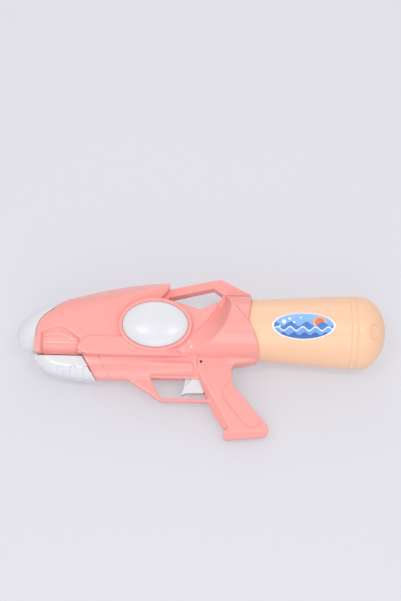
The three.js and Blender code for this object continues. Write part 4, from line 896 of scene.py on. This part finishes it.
# Peach polyethylene, blown thin, so light bleeds through it a little
peach = grainy("peach polyethylene", "#fccfae", "#f9c7a2", (0.30, 0.38), 60, **{
    "Subsurface Weight": 0.06, "Subsurface Radius": (1.0, 0.6, 0.4), "Subsurface Scale": 0.004})
# Grey acetal of the hidden works, moulded: dull and plain
grey = grainy("grey acetal", "#c9c9cc", "#bfbfc3", (0.40, 0.55))
# Black nitrile rubber of the seals: matt
rubber = grainy("black nitrile rubber", "#26262a", "#303034", (0.7, 0.85), 10, 0.4)
# Clear vinyl hose, extruded: smooth and half see-through
vinyl = grainy("clear vinyl", "#e6ecec", "#dfe7e8", (0.12, 0.22), 30, **{
    "Transmission Weight": 0.6, "IOR": 1.5})
# Zinc-plated steel of screws and springs: a cool grey shine
steel = grainy("zinc-plated steel", "#b9bcc0", "#a6a9ae", (0.28, 0.42), 6, 0.3, Metallic=1.0)
# Blackened steel of the pin: dark, and its darkness is also painted shade for the hole the pin sits in, with
# a low shine
pin_steel_and_hole_shade = grainy("pin steel with painted hole shade", "#2b2527", "#382f31", (0.45, 0.6), 6, 0.3, Metallic=0.6)
print(len(bpy.data.materials), "materials")

# %% [markdown]
# ## The label's print
#
# The label is a generic seaside print: sky, bands of waves, a coral sun and some bubbles inside a white
# border. It could be a picture file, but here it is computed from the label's own place on the tank: u and v
# run from -1 to 1 across the oval, and each motif is a mask over the colours below it.

# %% Label coordinates and motifs
film, tree = blank("printed vinyl film")
place = node(tree, "TexCoord").outputs["Object"]
upright = node(tree, "Mapping", {"Vector": place, "Location": origin, "Rotation": (roll, 0, 0)},
               vector_type="TEXTURE")
axes = node(tree, "SeparateXYZ", {"Vector": upright})
u, v = [node(tree, "Math", {0: axes.outputs[i], 1: LABEL_AT[i] / 1000}, operation="SUBTRACT") for i in (0, 1)]
u, v = [node(tree, "Math", {0: far, 1: half / 1000}, operation="DIVIDE")
        for far, half in zip((u, v), LABEL_HALF)]


def squares(across, up):
    """The sum of two squares."""
    terms = [node(tree, "Math", {0: value, 1: 2}, operation="POWER") for value in (across, up)]
    return node(tree, "Math", {0: terms[0], 1: terms[1]}, operation="ADD")


def disc(x, y, radius):
    """1 inside a round spot; sizes are shares of the label's half height."""
    across = node(tree, "Math", {0: u, 1: x}, operation="SUBTRACT")
    across = node(tree, "Math", {0: across, 1: LABEL_HALF[0] / LABEL_HALF[1]}, operation="MULTIPLY")
    up = node(tree, "Math", {0: v, 1: y}, operation="SUBTRACT")
    return node(tree, "Math", {0: squares(across, up), 1: radius ** 2}, operation="LESS_THAN")


def waves(level, height, count, phase):
    """1 below a wavy line across the label."""
    angle = node(tree, "Math", {0: u, 1: count * math.pi, 2: phase}, operation="MULTIPLY_ADD")
    swing = node(tree, "Math", {0: angle}, operation="SINE")
    line = node(tree, "Math", {0: swing, 1: height, 2: level}, operation="MULTIPLY_ADD")
    return node(tree, "Math", {0: v, 1: line}, operation="LESS_THAN")


# %% Label print
# Each bubble: its place and its radius
BUBBLES = ((-0.62, 0.3, 0.16), (-0.44, 0.52, 0.1), (-0.3, 0.25, 0.08), (-0.1, 0.6, 0.07),
           (-0.75, -0.05, 0.07))
BORDER = 0.87
RIPPLE_MM, RIPPLE_DEEP_MM = 1000 / 120, 0.1

layers = [(disc(0.5, 0.25, 0.46), "#f6b48c"), (disc(0.5, 0.25, 0.34), "#e9805c"),
          (waves(0.12, 0.16, 4, 0.4), "#4a7ec9"), (waves(-0.18, 0.14, 5, 2.0), "#e8f0fb"),
          (waves(-0.28, 0.14, 5, 2.0), "#6fa6ea"), (waves(-0.58, 0.1, 6, 1.0), "#3c66b2")]
layers += [(disc(*bubble), "#f2f6fc") for bubble in BUBBLES]
layers += [(node(tree, "Math", {0: squares(u, v), 1: BORDER}, operation="GREATER_THAN"), "#eef2f8")]
sky = node(tree, "Math", {0: v, 1: 0.5, 2: 0.5}, operation="MULTIPLY_ADD")
ink = node(tree, "Mix", {0: sky, 6: colour("#5f9be6"), 7: colour("#9cc6f4")}, data_type="RGBA").outputs[2]
for mask, code in layers:
    ink = node(tree, "Mix", {0: mask, 6: ink, 7: colour(code)}, data_type="RGBA").outputs[2]
ripple = node(tree, "TexNoise", {"Vector": place, "Scale": 1000 / RIPPLE_MM, "Detail": 2}).outputs["Fac"]
bump = node(tree, "Bump", {"Height": ripple, "Distance": RIPPLE_DEEP_MM / 1000, "Strength": 0.3})
gloss = node(tree, "MapRange", {"Value": ripple, "To Min": 0.25, "To Max": 0.35})
shader = node(tree, "BsdfPrincipled", {"Base Color": ink, "Roughness": gloss, "Normal": bump})
node(tree, "OutputMaterial", {"Surface": shader})
print("label print from", len(layers), "layers")

# %% [markdown]
# ## Put each piece in its place
#
# Each finished piece is laid down on the table, shaded smooth except at its true edges, given its material,
# and tied to the body that it moves with. It then stands for its CAD node, which is hidden.

# %% Hand the pieces over
TRUE_EDGE = math.radians(40)


def place_piece(piece, material, body, node_name):
    moved(piece, lying)
    piece.data.materials.clear()
    piece.data.materials.append(material)
    pick(piece)
    bpy.ops.object.shade_smooth_by_angle(angle=TRUE_EDGE)
    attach(piece, body)
    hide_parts(node_name)


place_piece(left, pink, "frame", "left_shell")
place_piece(right, pink, "frame", "right_shell")
place_piece(nose, white, "frame", "nose_shroud")
place_piece(nozzle, grey, "frame", "nozzle")
place_piece(cover, white, "frame", "left_oval_cover")
place_piece(other_cover, white, "frame", "right_oval_cover")
place_piece(near_half, white, "pump", "pump_handle_left")
place_piece(far_half, white, "pump", "pump_handle_right")
place_piece(trigger, white, "trigger", "trigger")
place_piece(tank, peach, "frame", "tank")
place_piece(label, film, "frame", "tank_label")
place_piece(plug, peach, "plug", "filler_plug")
for name, piece in screws.items():
    place_piece(piece, steel, "pump" if name.startswith("handle") else "frame", name)
print("pieces placed")

# %% The hidden works keep their CAD shapes
WORKS = {
    grey: ("pump_rod", "pump_piston", "pump_cylinder", "cylinder_cap", "check_valve", "valve_body",
           "valve_plunger"),
    rubber: ("piston_ring", "check_flap", "tank_gasket", "filler_ring", "valve_ring"),
    vinyl: ("air_hose", "water_hose_front", "water_hose_rear", "pickup_tube"),
    steel: ("trigger_spring", "valve_spring"),
    # The pin's dark colour also paints the shade inside its hole
    pin_steel_and_hole_shade: ("trigger_pin",),
    white: ("tank_cap",),
}
for material, names in WORKS.items():
    for name in names:
        mesh = frame["nodes"][name].data
        mesh.materials.clear()
        mesh.materials.append(material)
print(sum(len(names) for names in WORKS.values()), "CAD nodes painted")

# %% [markdown]
# ## Table, light and camera
#
# The light is that of a product photograph: an even pale surround and soft lamps. Two small lamps overhead
# put the bright spots on the covers, and two wide ones in front and behind soften the shadows. The table is
# matt paper. To the eye, and in gloss, part of it is a plain pale backdrop, so its shadows stay faint. The
# camera looks down from the toy's lower side.

# %% Table
GLOW, TABLE_SIZE = 0.5, 8
bpy.ops.object.select_all(action="DESELECT")
bpy.ops.mesh.primitive_plane_add(size=TABLE_SIZE)
table = bpy.context.object
table.name = "table"
# Matt table paper: no gloss and a barely seen cloudiness
paper = grainy("matt table paper", "#dedee6", "#dcdce5", (0.8, 0.9), 400, 2, 0.01)
tree = paper.node_tree
path = node(tree, "LightPath")
seen = path.outputs["Is Camera Ray"]
for ray in ("Is Glossy Ray", "Is Transmission Ray"):
    seen = node(tree, "Math", {0: seen, 1: path.outputs[ray]}, operation="MAXIMUM")
share = node(tree, "Math", {0: seen, 1: GLOW}, operation="MULTIPLY")
backdrop = node(tree, "Emission", {"Color": colour("#e5e4ea"), "Strength": 1})
surface = next(n for n in tree.nodes if n.bl_idname == "ShaderNodeOutputMaterial").inputs["Surface"]
matt = surface.links[0].from_socket
tree.links.new(node(tree, "MixShader", {0: share, 1: matt, 2: backdrop}).outputs[0], surface)
table.data.materials.append(paper)
print("table of", TABLE_SIZE, "m")

# %% Light
ROOM_LIGHT = 0.72
# Each lamp: its place, its power in watts and its width in metres
LAMPS = (("left lamp", (-0.45, -0.34, 1.5), 3, 0.3), ("right lamp", (0.42, -0.4, 1.45), 3, 0.3),
         ("front lamp", (0, -1.3, 0.9), 4.5, 1.0), ("back lamp", (0, 1.3, 1.0), 2.5, 1.0))
world = bpy.data.worlds.new("pale room")
bpy.context.scene.world = world
world.use_nodes = True
room = world.node_tree.nodes["Background"].inputs
room["Color"].default_value = (1, 1, 1, 1)
room["Strength"].default_value = ROOM_LIGHT
for name, spot, power, size in LAMPS:
    bpy.ops.object.light_add(type="AREA", location=spot)
    lamp = bpy.context.object
    lamp.name = name
    lamp.data.energy, lamp.data.shape, lamp.data.size = power, "DISK", size
    lamp.rotation_euler = (-Vector(spot)).to_track_quat("-Z", "Y").to_euler()
bpy.context.scene.view_settings.view_transform = "Standard"
print(len(LAMPS), "lamps")

# %% Camera
AZIMUTH, HEIGHT, DISTANCE = math.radians(1.652), math.radians(60.017), 1.2095
TARGET = Vector((-0.00234, 0.09139, 0))
LENS, SENSOR = 62.9, 36
away = Vector((math.sin(AZIMUTH) * math.cos(HEIGHT), -math.cos(AZIMUTH) * math.cos(HEIGHT), math.sin(HEIGHT)))
bpy.ops.object.camera_add(location=TARGET + away * DISTANCE)
camera = bpy.context.object
camera.rotation_euler = (-away).to_track_quat("-Z", "Y").to_euler()
camera.data.lens, camera.data.sensor_width = LENS, SENSOR
bpy.context.scene.camera = camera
print("camera at", [round(v, 3) for v in camera.location])
